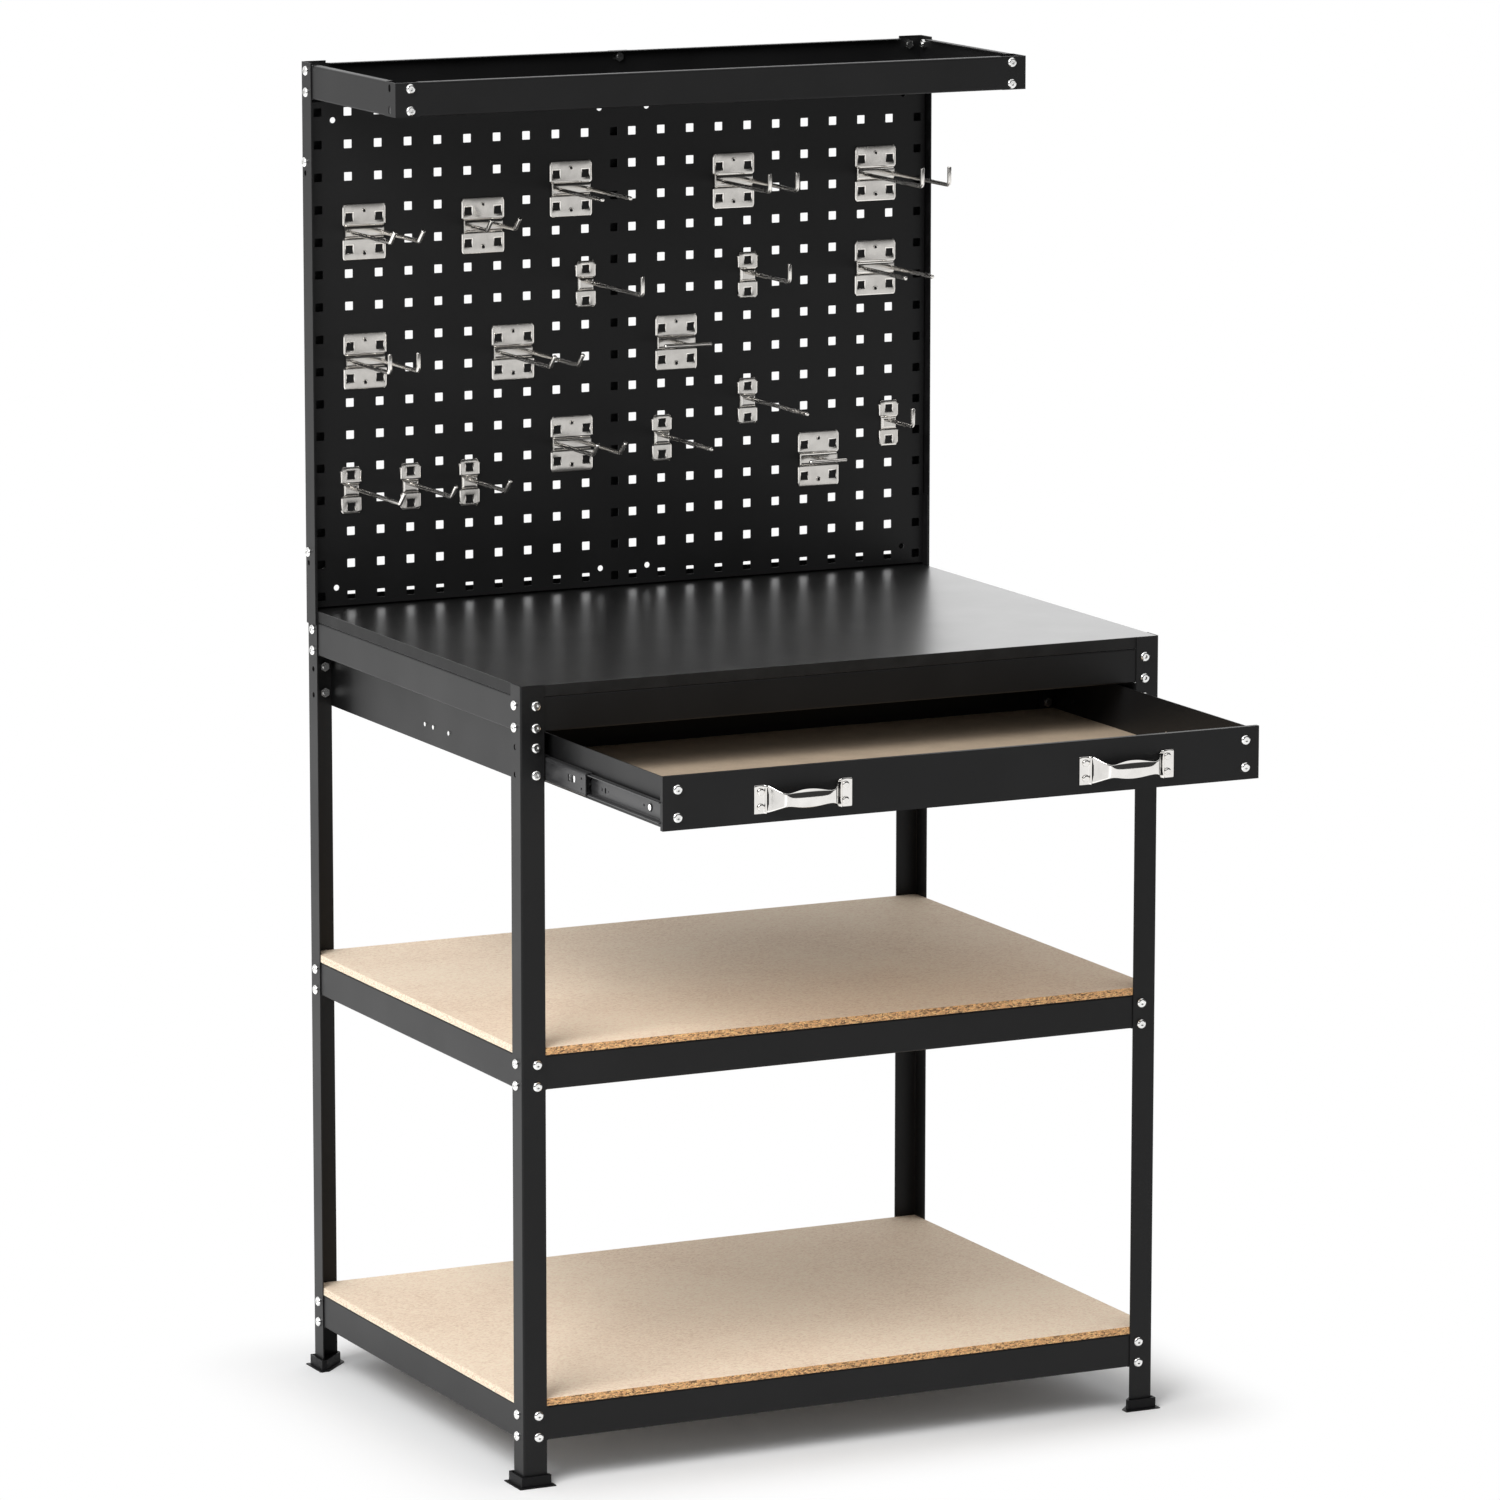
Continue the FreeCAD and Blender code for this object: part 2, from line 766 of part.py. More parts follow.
def handle_rivet_places():
    places = []
    inset = handle_length / 2 - handle_plate_width / 2
    for side in (-1, 1):
        for end in (-1, 1):
            for level in (-1, 1):
                x = side * handle_offset + end * inset
                z = handle_centre_height + level * handle_rivet_pitch / 2
                places.append(V(x, drawer_face, z))
    return places


def handle_rivet_holes():
    reach = handle_sheet + rail_sheet
    holes = []
    for place in handle_rivet_places():
        holes.append(rod(place - V(0, reach, 0), V(0, 1, 0), 2 * reach, handle_rivet_diameter))
    return holes


def handle_rivets():
    shapes = []
    for place in handle_rivet_places():
        outside = place - V(0, handle_sheet, 0)
        shank = rod(outside, V(0, 1, 0), handle_sheet + rail_sheet, handle_rivet_diameter)
        head = rod(outside - V(0, handle_rivet_head_height, 0), V(0, 1, 0),
                   handle_rivet_head_height, handle_rivet_head)
        tail = rod(place + V(0, rail_sheet, 0), V(0, 1, 0), handle_rivet_head_height, handle_rivet_head)
        shapes.append(joined([shank, head, tail]))
    return Part.makeCompound(shapes)


# Pegboards

panel_top = peg_first_row_height + peg_top_margin
last_row_height = peg_first_row_height - (peg_rows - 1) * peg_pitch
panel_bottom = last_row_height - peg_top_margin


def peg_x(side, column):
    """Centre of a column, counted from the left edge of its panel."""
    from_seam = peg_columns - 1 - column if side < 0 else column
    return side * (peg_seam_margin + from_seam * peg_pitch)


def peg_z(row):
    return peg_first_row_height - row * peg_pitch


def peg_hole_tools(side):
    half = peg_hole / 2
    square = [(-half, -half), (half, -half), (half, half), (-half, half)]
    tools = []
    for column in range(peg_columns):
        for row in range(peg_rows):
            x = peg_x(side, column)
            z = peg_z(row)
            tools.append(prism(square, [peg_hole_corner] * 4,
                               lambda u, v: V(x + u, panel_front - panel_sheet, z + v),
                               V(0, 3 * panel_sheet, 0)))
    shift = peg_pitch / 2
    for column in (0, peg_columns - 1):
        x = peg_x(side, column)
        x += shift if column == 0 else -shift
        for z in (peg_z(0) - peg_round_shift, last_row_height + peg_round_shift):
            tools.append(rod(V(x, panel_front - panel_sheet, z), V(0, 1, 0), 3 * panel_sheet, peg_round_hole))
    return tools


def pegboard(side):
    outer_x = side * inner_half
    blank = box((0, outer_x), (panel_front, rail_inner_rear), (panel_bottom, panel_top))
    hollow = box((side * panel_sheet, outer_x - side * panel_sheet),
                 (panel_front + panel_sheet, rail_inner_rear + 1),
                 (panel_bottom + panel_sheet, panel_top - panel_sheet))
    tray = blank.cut(hollow)
    pieces = [tray]
    for level in peg_bolt_levels:
        if level > rear_leg_top:
            centre = V(side * half_width, panel_bolt_y, level)
            pieces.append(rod(centre, V(-side, 0, 0), leg_sheet + panel_sheet, peg_boss_diameter))
    return drilled(without(joined(pieces), peg_hole_tools(side)), frame_joints)


def panel_joints():
    for side in (-1, 1):
        for z in peg_bolt_levels:
            grip = 2 * leg_sheet + panel_sheet
            add_joint(frame_joints, side * (half_width + leg_sheet), panel_bolt_y, z, V(-side, 0, 0), grip)
        for z in upright_rear_bolts:
            x = side * (half_width - face_bolt_inset)
            add_joint(frame_joints, x, leg_rear + leg_sheet, z, V(0, -1, 0), 2 * leg_sheet)


def centre_bar():
    """A flat bar behind the seam, stepped back where it meets the rail and the tray."""
    half_bar = centre_bar_width / 2
    x_range = (-half_bar, half_bar)
    bar_front = rail_inner_rear
    main = box(x_range, (bar_front, inner_rear), (backstop_top, tray_bottom))
    low_step = box(x_range, (bar_front, inner_rear + rail_sheet), (backstop_top, backstop_top + rail_sheet))
    low_end = box(x_range, (inner_rear, inner_rear + rail_sheet), (bench_rail_bottom, backstop_top + rail_sheet))
    high_step = box(x_range, (bar_front, tray_rear + rail_sheet), (tray_bottom - rail_sheet, tray_bottom))
    high_end = box(x_range, (tray_rear, tray_rear + rail_sheet), (tray_bottom - rail_sheet, tray_rim_height))
    return drilled(joined([main, low_step, low_end, high_step, high_end]), frame_joints)


def centre_bar_joints():
    for rise in centre_bar_bolt_rises:
        z = bench_rail_bottom + rise
        add_joint(frame_joints, 0, inner_rear + rail_sheet, z, V(0, -1, 0), 2 * rail_sheet)
    for z in tray_levels():
        add_joint(frame_joints, 0, tray_rear + rail_sheet, z, V(0, -1, 0), 2 * rail_sheet)


# Tray

def tray_levels():
    low = tray_bottom + tray_bolt_rise
    return (low, low + rail_bolt_pitch)


def tray_joints():
    for z in tray_levels():
        for side in (-1, 1):
            x = side * (half_width - face_bolt_inset)
            add_joint(frame_joints, side * (half_width + leg_sheet), tray_bolt_y, z,
                      V(-side, 0, 0), leg_sheet + rail_sheet)
            add_joint(frame_joints, x, leg_rear + leg_sheet, z, V(0, -1, 0), leg_sheet + rail_sheet)
            add_joint(frame_joints, x, tray_front, z, V(0, 1, 0), 2 * rail_sheet)


def tray_front_rail():
    length = 2 * half_width

    def place(along, depth, z):
        return V(along - length / 2, tray_front + depth, tray_bottom + z)

    notch = tray_flange + touch_gap
    return drilled(channel(length, tray_height, tray_lip, rail_sheet, (notch, notch), place), frame_joints)


def tray_rear_rail():
    length = 2 * (half_width - rail_sheet)

    def place(along, depth, z):
        return V(along - length / 2, tray_rear - depth, tray_bottom + z)

    notch = tray_flange
    return drilled(channel(length, tray_height, tray_lip, rail_sheet, (notch, notch), place), frame_joints)


def tray_side(side):
    start = tray_front + rail_sheet
    length = tray_rear - corner_clearance - start

    def place(along, depth, z):
        return V(side * (half_width - depth), start + along, tray_bottom + z)

    web = channel(length, tray_height, tray_lip, rail_sheet, (tray_flange, tray_flange), place)
    flange = box((side * half_width, side * (half_width - tray_flange)), (start, start + rail_sheet),
                 (tray_bottom, tray_rim_height))
    shape = drilled(joined([web, flange]), frame_joints)
    slots = []
    for z in tray_levels():
        slot_y = tray_front + tray_slot_inset
        half_w = tray_slot_width / 2
        half_h = tray_slot_height / 2
        points = [(-half_w, -half_h), (half_w, -half_h), (half_w, half_h), (-half_w, half_h)]
        outside = side * (half_width + rail_sheet)
        slots.append(prism(points, [half_w * 0.98] * 4,
                           lambda u, v: V(outside, slot_y + u, z + v),
                           V(-side * 3 * rail_sheet, 0, 0)))
    return without(shape, slots)


def tray_floor():
    half = half_width - bend_radius
    bottom = tray_bottom + rail_sheet
    front = tray_front + bend_radius
    rear = tray_rear - bend_radius
    panel = box((-half, half), (front, rear), (bottom, bottom + panel_sheet))
    notches = []
    pocket = nut_height + bolt_end + touch_gap + leg_sheet + rail_sheet
    for side in (-1, 1):
        x_range = (side * (half + 1), side * (half_width - tray_flange))
        notches.append(box(x_range, (front - 1, front + pocket), (bottom, bottom + panel_sheet)))
        rear_y = tray_bolt_y - nut_width
        notches.append(box(x_range, (rear_y, rear + 1), (bottom, bottom + panel_sheet)))
    centre = (-nut_width, nut_width)
    notches.append(box(centre, (rear - pocket, rear + 1), (bottom, bottom + panel_sheet)))
    return without(panel, notches)


# Pegboard hooks

def hook_plate(width, height, corner, x, row, columns):
    """A plate with a raised band, waist notches and tabs bent out through the pegboard."""
    z_centre = hook_height(row)
    half_w = width / 2
    half_h = height / 2
    band = hook_band_height / 2
    points = [(-half_w, -half_h), (half_w, -half_h),
              (half_w, -band - hook_notch), (half_w - hook_notch, -band),
              (half_w - hook_notch, band), (half_w, band + hook_notch),
              (half_w, half_h), (-half_w, half_h),
              (-half_w, band + hook_notch), (hook_notch - half_w, band),
              (hook_notch - half_w, -band), (-half_w, -band - hook_notch)]
    radii = [corner, corner, 0, 0, 0, 0, corner, corner, 0, 0, 0, 0]
    plate = prism(points, radii, lambda u, v: V(x + u, panel_front, z_centre + v), V(0, -hook_sheet, 0))
    raised = box((x - half_w + hook_notch, x + half_w - hook_notch),
                 (panel_front - hook_sheet - hook_band_rise, panel_front - hook_sheet),
                 (z_centre - band + hook_sheet, z_centre + band - hook_sheet))
    windows = []
    tabs = []
    for level in (row, row + 1):
        hole_floor = peg_z(level) - peg_hole / 2
        window_top = hole_floor - (hook_window_drop - peg_hole / 2) + hook_window / 2
        for offset in columns:
            centre = x + offset
            window_x = (centre - hook_window / 2, centre + hook_window / 2)
            windows.append(box(window_x, (panel_front - 2 * hook_sheet, panel_front),
                               (window_top - hook_window, window_top)))
            tab_x = (centre - hook_tab_width / 2, centre + hook_tab_width / 2)
            behind = panel_front + panel_sheet + touch_gap
            rise = hole_floor + hook_sheet
            tabs.append(box(tab_x, (panel_front - hook_sheet, behind + hook_sheet), (hole_floor, rise)))
            tabs.append(box(tab_x, (behind, behind + hook_sheet), (hole_floor - hook_tab_drop, rise)))
    return joined([plate, raised] + tabs).cut(Part.makeCompound(windows))


def prong(x, z, reach, tip):
    """A round wire out of the plate's band, with its end turned up, slanted or straight."""
    start = panel_front - hook_sheet - hook_band_rise
    end = panel_front - reach
    if tip == "straight":
        return rod(V(x, start, z), V(0, -1, 0), start - end, prong_diameter)
    if tip == "up":
        turn = math.radians(90)
        rise = prong_tip_rise
    else:
        turn = math.radians(45)
        rise = prong_slant_rise
    tangent = prong_bend * math.tan(turn / 2)
    forward = V(0, -math.cos(turn), math.sin(turn))
    corner = V(x, end, z)
    bend_start = corner + V(0, tangent, 0)
    bend_end = corner + forward * tangent
    centre = bend_start + V(0, 0, prong_bend)
    middle = centre + V(0, -math.sin(turn / 2), -math.cos(turn / 2)) * prong_bend
    tip_end = corner + forward * (rise / math.sin(turn))
    path = Part.Wire([
        Part.makeLine(V(x, start, z), bend_start),
        Part.Arc(bend_start, middle, bend_end).toShape(),
        Part.makeLine(bend_end, tip_end),
    ])
    section = Part.Wire([Part.makeCircle(prong_diameter / 2, V(x, start, z), V(0, -1, 0))])
    return path.makePipeShell([section], True, False)


def wide_hook_x(side, column):
    return (peg_x(side, column) + peg_x(side, column + 1)) / 2


def hook_height(row):
    return peg_z(row) - peg_pitch / 2 - hook_drop


def hook_plates():
    pair = (-peg_pitch / 2, peg_pitch / 2)
    shapes = []
    for side, column, row in [hook[:3] for hook in wide_hooks + bar_hooks]:
        shapes.append(hook_plate(wide_plate_width, wide_plate_height, wide_plate_corner,
                                 wide_hook_x(side, column), row, pair))
    for side, column, row in [hook[:3] for hook in narrow_hooks]:
        shapes.append(hook_plate(narrow_plate_width, narrow_plate_height, narrow_plate_corner,
                                 peg_x(side, column), row, (0,)))
    return Part.makeCompound(shapes)


def hook_prongs():
    shapes = []
    for side, column, row, reach, tip in wide_hooks:
        for offset in (-prong_spread / 2, prong_spread / 2):
            shapes.append(prong(wide_hook_x(side, column) + offset, hook_height(row), reach, tip))
    for side, column, row, reach, tip in narrow_hooks:
        height = hook_height(row) + narrow_prong_rise
        shapes.append(prong(peg_x(side, column), height, reach, tip))
    return Part.makeCompound(shapes)


def hook_bars():
    shapes = []
    for side, column, row, reach, length in bar_hooks:
        x = wide_hook_x(side, column)
        z = hook_height(row)
        stem = prong(x, z, reach, "straight")
        bar = rod(V(x - length / 2, panel_front - reach, z), V(1, 0, 0), length, prong_diameter)
        shapes.append(joined([stem, bar]))
    return Part.makeCompound(shapes)


# All the pieces

def build():
    rail_joints()
    carrier_joints()
    drawer_bolt_joints()
    panel_joints()
    centre_bar_joints()
    tray_joints()
    pieces = {}
    sides = {"left": -1, "right": 1}
    ends = {"front": -1, "rear": 1}
    for end_name, end in ends.items():
        for side_name, side in sides.items():
            pieces[f"leg_{end_name}_{side_name}"] = leg(side, end)
            pieces[f"foot_{end_name}_{side_name}"] = foot(side, end)
    for name, side in sides.items():
        pieces[f"upright_{name}"] = upright(side)
        pieces[f"slide_carrier_{name}"] = carrier(side)
        pieces[f"slide_outer_{name}"] = slide_outer(side)
        pieces[f"slide_middle_{name}"] = slide_middle(side)
        pieces[f"slide_stop_{name}"] = slide_stop(side)
        pieces[f"slide_inner_{name}"] = slide_inner(side)
        pieces[f"drawer_side_{name}"] = drawer_side(side)
        pieces[f"handle_{name}"] = without(handle(side), handle_rivet_holes())
        pieces[f"pegboard_{name}"] = pegboard(side)
        pieces[f"tray_side_{name}"] = tray_side(side)
        for level, bottom in rail_bottoms.items():
            pieces[f"{level}_rail_{name}"] = side_rail(side, bottom)
    for level, bottom in rail_bottoms.items():
        pieces[f"{level}_rail_front"] = plain_cross_rail(-1, bottom)
        if level != "bench":
            pieces[f"{level}_rail_rear"] = plain_cross_rail(1, bottom)
            pieces[f"{level}_shelf_board"] = board(bottom + rail_height, shelf_board_thickness, inner_rear)
    pieces["bench_rail_rear"] = backstop_rail()
    pieces["worktop"] = board(bench_rail_bottom + rail_height, worktop_thickness, rail_inner_rear)
    pieces["centre_bar"] = centre_bar()
    pieces["tray_front"] = tray_front_rail()
    pieces["tray_rear"] = tray_rear_rail()
    pieces["tray_floor"] = tray_floor()
    pieces["drawer_front"] = drawer_front()
    pieces["drawer_back"] = drawer_back()
    pieces["drawer_floor"] = drawer_floor()
    pieces["frame_bolts"] = fasteners(frame_joints, button_bolt)
    pieces["frame_nuts"] = fasteners(frame_joints, hex_nut)
    pieces["drawer_bolts"] = fasteners(drawer_joints, button_bolt)
    pieces["drawer_nuts"] = fasteners(drawer_joints, hex_nut)
    pieces["handle_rivets"] = handle_rivets()
    pieces["carrier_rivets"] = carrier_rivet_set()
    pieces["drawer_slide_rivets"] = drawer_rivet_set()
    pieces["hook_plates"] = hook_plates()
    pieces["hook_prongs"] = hook_prongs()
    pieces["hook_bars"] = hook_bars()
    return pieces


def main():
    os.makedirs("parts", exist_ok=True)
    for name, shape in build().items():
        shape.exportStep(f"parts/{name}.step")
        print(name, len(shape.Solids), "solids", round(shape.Volume / 1000, 2), "cm3",
              "valid" if shape.isValid() else "NOT VALID")


main()
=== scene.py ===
import math

import bmesh
import bpy
from bpy.props import FloatProperty, FloatVectorProperty, PointerProperty
from bpy.types import Operator, Panel, PropertyGroup
from mathutils import Matrix, Vector


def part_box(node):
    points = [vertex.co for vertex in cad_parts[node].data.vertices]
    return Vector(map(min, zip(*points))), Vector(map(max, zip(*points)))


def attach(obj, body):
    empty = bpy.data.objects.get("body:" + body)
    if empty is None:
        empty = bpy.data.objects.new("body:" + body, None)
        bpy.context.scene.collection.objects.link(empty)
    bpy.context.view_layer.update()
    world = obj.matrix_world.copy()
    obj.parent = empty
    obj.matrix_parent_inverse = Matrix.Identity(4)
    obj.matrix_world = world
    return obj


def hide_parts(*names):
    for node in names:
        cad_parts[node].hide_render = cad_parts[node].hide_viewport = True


bl_info = {
    "name": "Workbench",
    "version": (1, 0, 0),
    "blender": (4, 5, 0),
    "location": "View3D > Sidebar > Workbench",
    "description": "Dresses the steel workbench and sets up its stage",
    "category": "Object",
}

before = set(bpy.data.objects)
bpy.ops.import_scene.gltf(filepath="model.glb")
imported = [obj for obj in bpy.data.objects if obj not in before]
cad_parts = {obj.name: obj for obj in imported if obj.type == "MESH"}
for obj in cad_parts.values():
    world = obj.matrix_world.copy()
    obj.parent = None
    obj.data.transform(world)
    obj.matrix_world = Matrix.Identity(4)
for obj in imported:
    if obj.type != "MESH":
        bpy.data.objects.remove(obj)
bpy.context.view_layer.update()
MM = 0.001
# Places that are nearer than this are the same
NEAR = 0.03 * MM
FACING_FRONT = (math.pi / 2, 0, 0)
PANEL_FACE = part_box("pegboard_left")[0].y
SLIDE_HEIGHT = sum(corner.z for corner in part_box("slide_middle_left")) / 2

# The pegboards' holes: pitch, first column from the seam, highest row, columns per panel
PEG_PITCH = 38 * MM
PEG_SEAM_MARGIN = 11.8 * MM
PEG_TOP_ROW = 1502.5 * MM
PEG_COLUMNS = 11

# The hooks: panel (-1 left, +1 right), column and row of the plate's upper left tab,
# reach from the panel in mm, and how the prongs end, or the length of the crossbar
WIDE_HOOKS = (
    (-1, 1, 3, 121, "slant"), (-1, 5, 3, 54, "slant"), (-1, 8, 2, 130, "straight"),
    (-1, 1, 7, 117, "up"), (-1, 6, 7, 147, "slant"), (-1, 8, 10, 101, "slant"),
    (1, 8, 5, 118, "straight"), (1, 3, 2, 137, "up"), (1, 8, 2, 160, "up"),
)
NARROW_HOOKS = (
    (-1, 9, 5, 160, "up"), (-1, 1, 11, 146, "slant"), (-1, 3, 11, 121, "slant"),
    (-1, 5, 11, 106, "slant"), (1, 1, 10, 139, "straight"), (1, 4, 5, 115, "up"),
    (1, 4, 9, 163, "straight"), (1, 9, 10, 66, "up"),
)
CROSSBAR_HOOKS = ((1, 1, 7, 35, 62), (1, 6, 11, 28.5, 50))
# The angle in degrees that a prong's end turns up by, and its rise in mm
TIPS = {"straight": (0, 0), "slant": (45, 14), "up": (90, 22)}

# The hooks' plates: width, height, corner and its steps; the middle's distance below the
# upper row; the raised band, the notches beside it, the windows, the raised ends and the
# eyelets; the inset and rise of each step up to the band in mm
WIDE_PLATE = (54.5 * MM, 66 * MM, 5 * MM, 5)
NARROW_PLATE = (25.5 * MM, 55 * MM, 7.5 * MM, 1)
HOOK_DROP = 27.4 * MM
BAND_HALF = 7 * MM
NOTCH = 2.5 * MM
WINDOW_HALF = 4.5 * MM
END_RISE = 0.6 * MM
EYELET_FOOT = 0.5 * MM
EYELET_FLOOR = 0.3 * MM
BAND_STEPS = ((0.6, 1.0), (0.7, 0.9), (0.9, 0.5), (1.2, 0.1))

# Rows across a handle's strap, in mm: place along it, reach, half height and crown
GRIP_CROWN = 4.8
HALF_GRIP = (
    (-59.5, 1.5, 15.9, 0.0), (-58.8, 1.5, 16.0, 0.0), (-57.0, 1.5, 16.0, 0.0),
    (-56.2, 1.5, 16.0, 0.0), (-50.4, 1.5, 16.0, 0.0), (-49.6, 1.5, 16.0, 0.0),
    (-48.4, 1.5, 16.0, 0.0), (-47.6, 1.6, 16.0, 0.0), (-47.0, 2.4, 16.0, 0.0),
    (-46.3, 3.5, 16.0, 0.0), (-45.4, 3.7, 15.9, 0.0), (-44.7, 2.8, 15.8, 0.0),
    (-44.2, 1.9, 15.6, 0.0), (-43.4, 1.7, 15.3, 0.0), (-42.2, 2.9, 14.7, 0.0),
    (-40.0, 6.6, 13.2, 0.0), (-36.8, 12.0, 10.8, 0.0), (-34.0, 15.7, 9.1, 0.0),
    (-31.0, 18.1, 7.9, 0.0), (-27.0, 19.3, 7.2, 0.4), (-21.5, 19.7, 7.9, 1.7),
    (-14.5, 19.9, 9.5, 3.3), (-7.3, 20.0, 10.7, 4.4),
)
GRIP_ROWS = (HALF_GRIP + ((0.0, 20.0, 11.0, GRIP_CROWN),)
             + tuple((-along, *rest) for along, *rest in reversed(HALF_GRIP)))
# Levels across the strap as shares of its half height, and the share of the crown that
# it has fallen by there
STRAP_LEVELS = ((1.0, 1.0), (0.78, 0.50), (0.56, 0.22), (0.28, 0.05))
# The rivets' places from a handle's middle, and the face that they stand on
RIVET_ALONG = 51.5 * MM
RIVET_UP = 8.5 * MM
RIVET_FACE = 1.4 * MM

FOOT_WALL = 4 * MM
FOOT_FLANGE = 4 * MM
FOOT_SHOULDER = 2 * MM
LEG_WIDTH = 29 * MM

# The slides' rolled members, in mm: half the web's height, the steps of a flange from
# the web on (along X, and away from the web's middle), and the web's windows (from and
# to behind its front, from and to above its middle). The inner one has a ball groove in
# each flange, the middle one a stepped web.
INNER_PROFILE = (
    9.6,
    ((0.13, 0.65), (0.37, 0.55), (0.55, 0.37), (0.65, 0.13), (0.8, 0.0), (0.6, -0.4),
     (0.8, -0.3), (1.3, 0.0), (0.8, 0.3), (0.6, 0.4), (1.4, 0.0)),
    ((143.3, 145.1, -2.2, -0.4), (150.0, 153.6, -4.4, 1.8), (159.2, 161.6, -3.2, 0.6),
     (51.0, 53.8, -1.8, 0.9), (300.0, 330.0, -2.5, 2.5)),
)
MIDDLE_PROFILE = (
    10.88,
    ((-0.15, 0.75), (-0.43, 0.64), (-0.64, 0.43), (-0.75, 0.15), (-2.0, 0.0), (-2.2, 0.0),
     (-2.0, 0.0)),
    ((27.6, 37.0, -2.6, 5.4), (41.0, 46.6, -2.6, 5.4), (9.0, 12.0, 4.5, 7.0),
     (9.0, 12.0, -7.0, -4.5), (180.0, 204.0, -3.0, 3.0)),
)
# How far the middle of the middle member's web is set back, and the width of a step to it
WEB_FIELD = 0.3 * MM
WEB_STEP = 0.4 * MM

# Each light's place, target, width and height; the camera's place, with Y from the back
# of the rear legs, and its right, up and view directions
KEY_LIGHT = ((-3.7, -2.3, 4.3), (0, 0, 0.8), 3.2, 3.2)
RIM_LIGHT = ((-2.8, 2.2, 0.35), (-0.4, 0, 0.35), 2.4, 0.7)
CAMERA_PLACE = (-3.94665, -8.46655, 2.40129)
CAMERA_RIGHT = (0.89917, -0.43760, 0.00085)
CAMERA_UP = (0.0769, 0.1600, 0.9841)
CAMERA_VIEW = (0.43079, 0.88483, -0.17745)
SHADOW_REACH = 0.18


# Settings

def number_setting(name, description, default, low, high, unit="NONE"):
    return FloatProperty(name=name, description=description, default=default,
                         min=low, max=high, unit=unit)


def length_setting(name, description, default, low, high):
    """A length, given in mm."""
    return number_setting(name, description, default * MM, low * MM, high * MM, "LENGTH")


def colour_setting(name, surface, default):
    return FloatVectorProperty(name=name, description=f"Colour of {surface}", default=default,
                               min=0, max=1, subtype="COLOR")


class WorkbenchSizes(PropertyGroup):
    strap_sheet: length_setting("Handle sheet", "Thickness of the handles' strap", 1.5, 0.5, 3)
    grip_crown: length_setting(
        "Grip crown", "How far a handle's grip stands before its edges", GRIP_CROWN, 0, 6)
    hook_sheet: length_setting("Hook plate", "Thickness of the hooks' plates", 1.4, 0.5, 1.5)
    wire: length_setting("Hook wire", "Diameter of the hooks' prongs", 5, 3, 5)
    board_edge: length_setting("Board edge", "Rounding of the boards' edges", 0.6, 0.1, 2)
    foot_edge: length_setting("Foot edge", "Rounding of the plastic feet's edges", 0.7, 0.1, 1.2)
    slide_sheet: length_setting(
        "Slide sheet", "Thickness of the drawer slides' rolled members", 1.1, 0.8, 1.2)


class WorkbenchFinishes(PropertyGroup):
    coat: colour_setting("Powder coat", "the coated steel", (0.0074, 0.0074, 0.0076))
    laminate: colour_setting("Worktop laminate", "the worktop", (0.004, 0.004, 0.0042))
    edge_band: colour_setting("Worktop edge", "the worktop's edge band", (0.012, 0.012, 0.012))
    board_pale: colour_setting("Pale chips", "the shelves' lighter chips", (0.97, 0.785, 0.61))
    board_dark: colour_setting("Dark chips", "the shelves' darker chips", (0.81, 0.62, 0.46))
    edge_chip: colour_setting("Edge chips", "the shelves' cut edges", (0.62, 0.34, 0.15))
    drawer_board: colour_setting("Drawer floor", "the drawer's floor board", (0.56, 0.44, 0.32))
    nickel: colour_setting("Nickel", "the hooks' plating", (0.62, 0.60, 0.57))
    chrome: colour_setting("Chrome", "the handles' plating", (0.87, 0.85, 0.82))
    zinc: colour_setting("Zinc", "the bolts and rivets", (0.93, 0.93, 0.92))
    slide: colour_setting("Slide plating", "the drawer slides", (0.030, 0.030, 0.031))
    plastic: colour_setting("Plastic", "the feet and stops", (0.005, 0.005, 0.0055))


class WorkbenchStage(PropertyGroup):
    key_power: number_setting(
        "Key light", "Power of the large soft light at the upper left", 250, 0, 2000, "POWER")
    rim_power: number_setting(
        "Rim light", "Power of the low soft light at the back left", 8, 0, 2000, "POWER")
    sky: number_setting(
        "Surrounding light", "Strength of the even light from all round", 0.57, 0, 2)
    front_gloss: number_setting(
        "Dark side", "How bright the room in front looks in shiny surfaces", 0.04, 0, 1)
    back_gloss: number_setting(
        "Bright side", "How bright the room behind looks in shiny surfaces", 1.35, 0, 2)
    lens: number_setting("Lens", "Focal length of the camera", 189.31, 20, 400, "CAMERA")


# Hand tools for the operators below

def settings():
    scene = bpy.context.scene
    return scene.workbench_sizes, scene.workbench_finishes


def clear_selection():
    if bpy.context.object and bpy.context.object.mode != "OBJECT":
        bpy.ops.object.mode_set(mode="OBJECT")
    bpy.ops.object.select_all(action="DESELECT")


def take(*pieces):
    """Leaves edit mode, selects the pieces and makes the first one active."""
    clear_selection()
    for piece in pieces:
        piece.select_set(True)
    bpy.context.view_layer.objects.active = pieces[0]


def settle(piece, name):
    """Names the piece and puts its place into its mesh, with its origin at the bench's."""
    piece.name = name
    take(piece)
    bpy.ops.object.transform_apply(location=True, rotation=True, scale=True)
    return piece


def open_edit(piece):
    """Opens the piece in edit mode with all of it selected."""
    take(piece)
    bpy.ops.object.mode_set(mode="EDIT")
    bpy.ops.mesh.select_all(action="SELECT")


def start_with(name):
    """Settles the primitive that was just added and leaves it open in edit mode."""
    piece = settle(bpy.context.object, name)
    open_edit(piece)
    return piece


def add_block(name, low, high):
    low, high = Vector(low), Vector(high)
    clear_selection()
    bpy.ops.mesh.primitive_cube_add(size=1, location=(low + high) / 2, scale=high - low)
    return start_with(name)


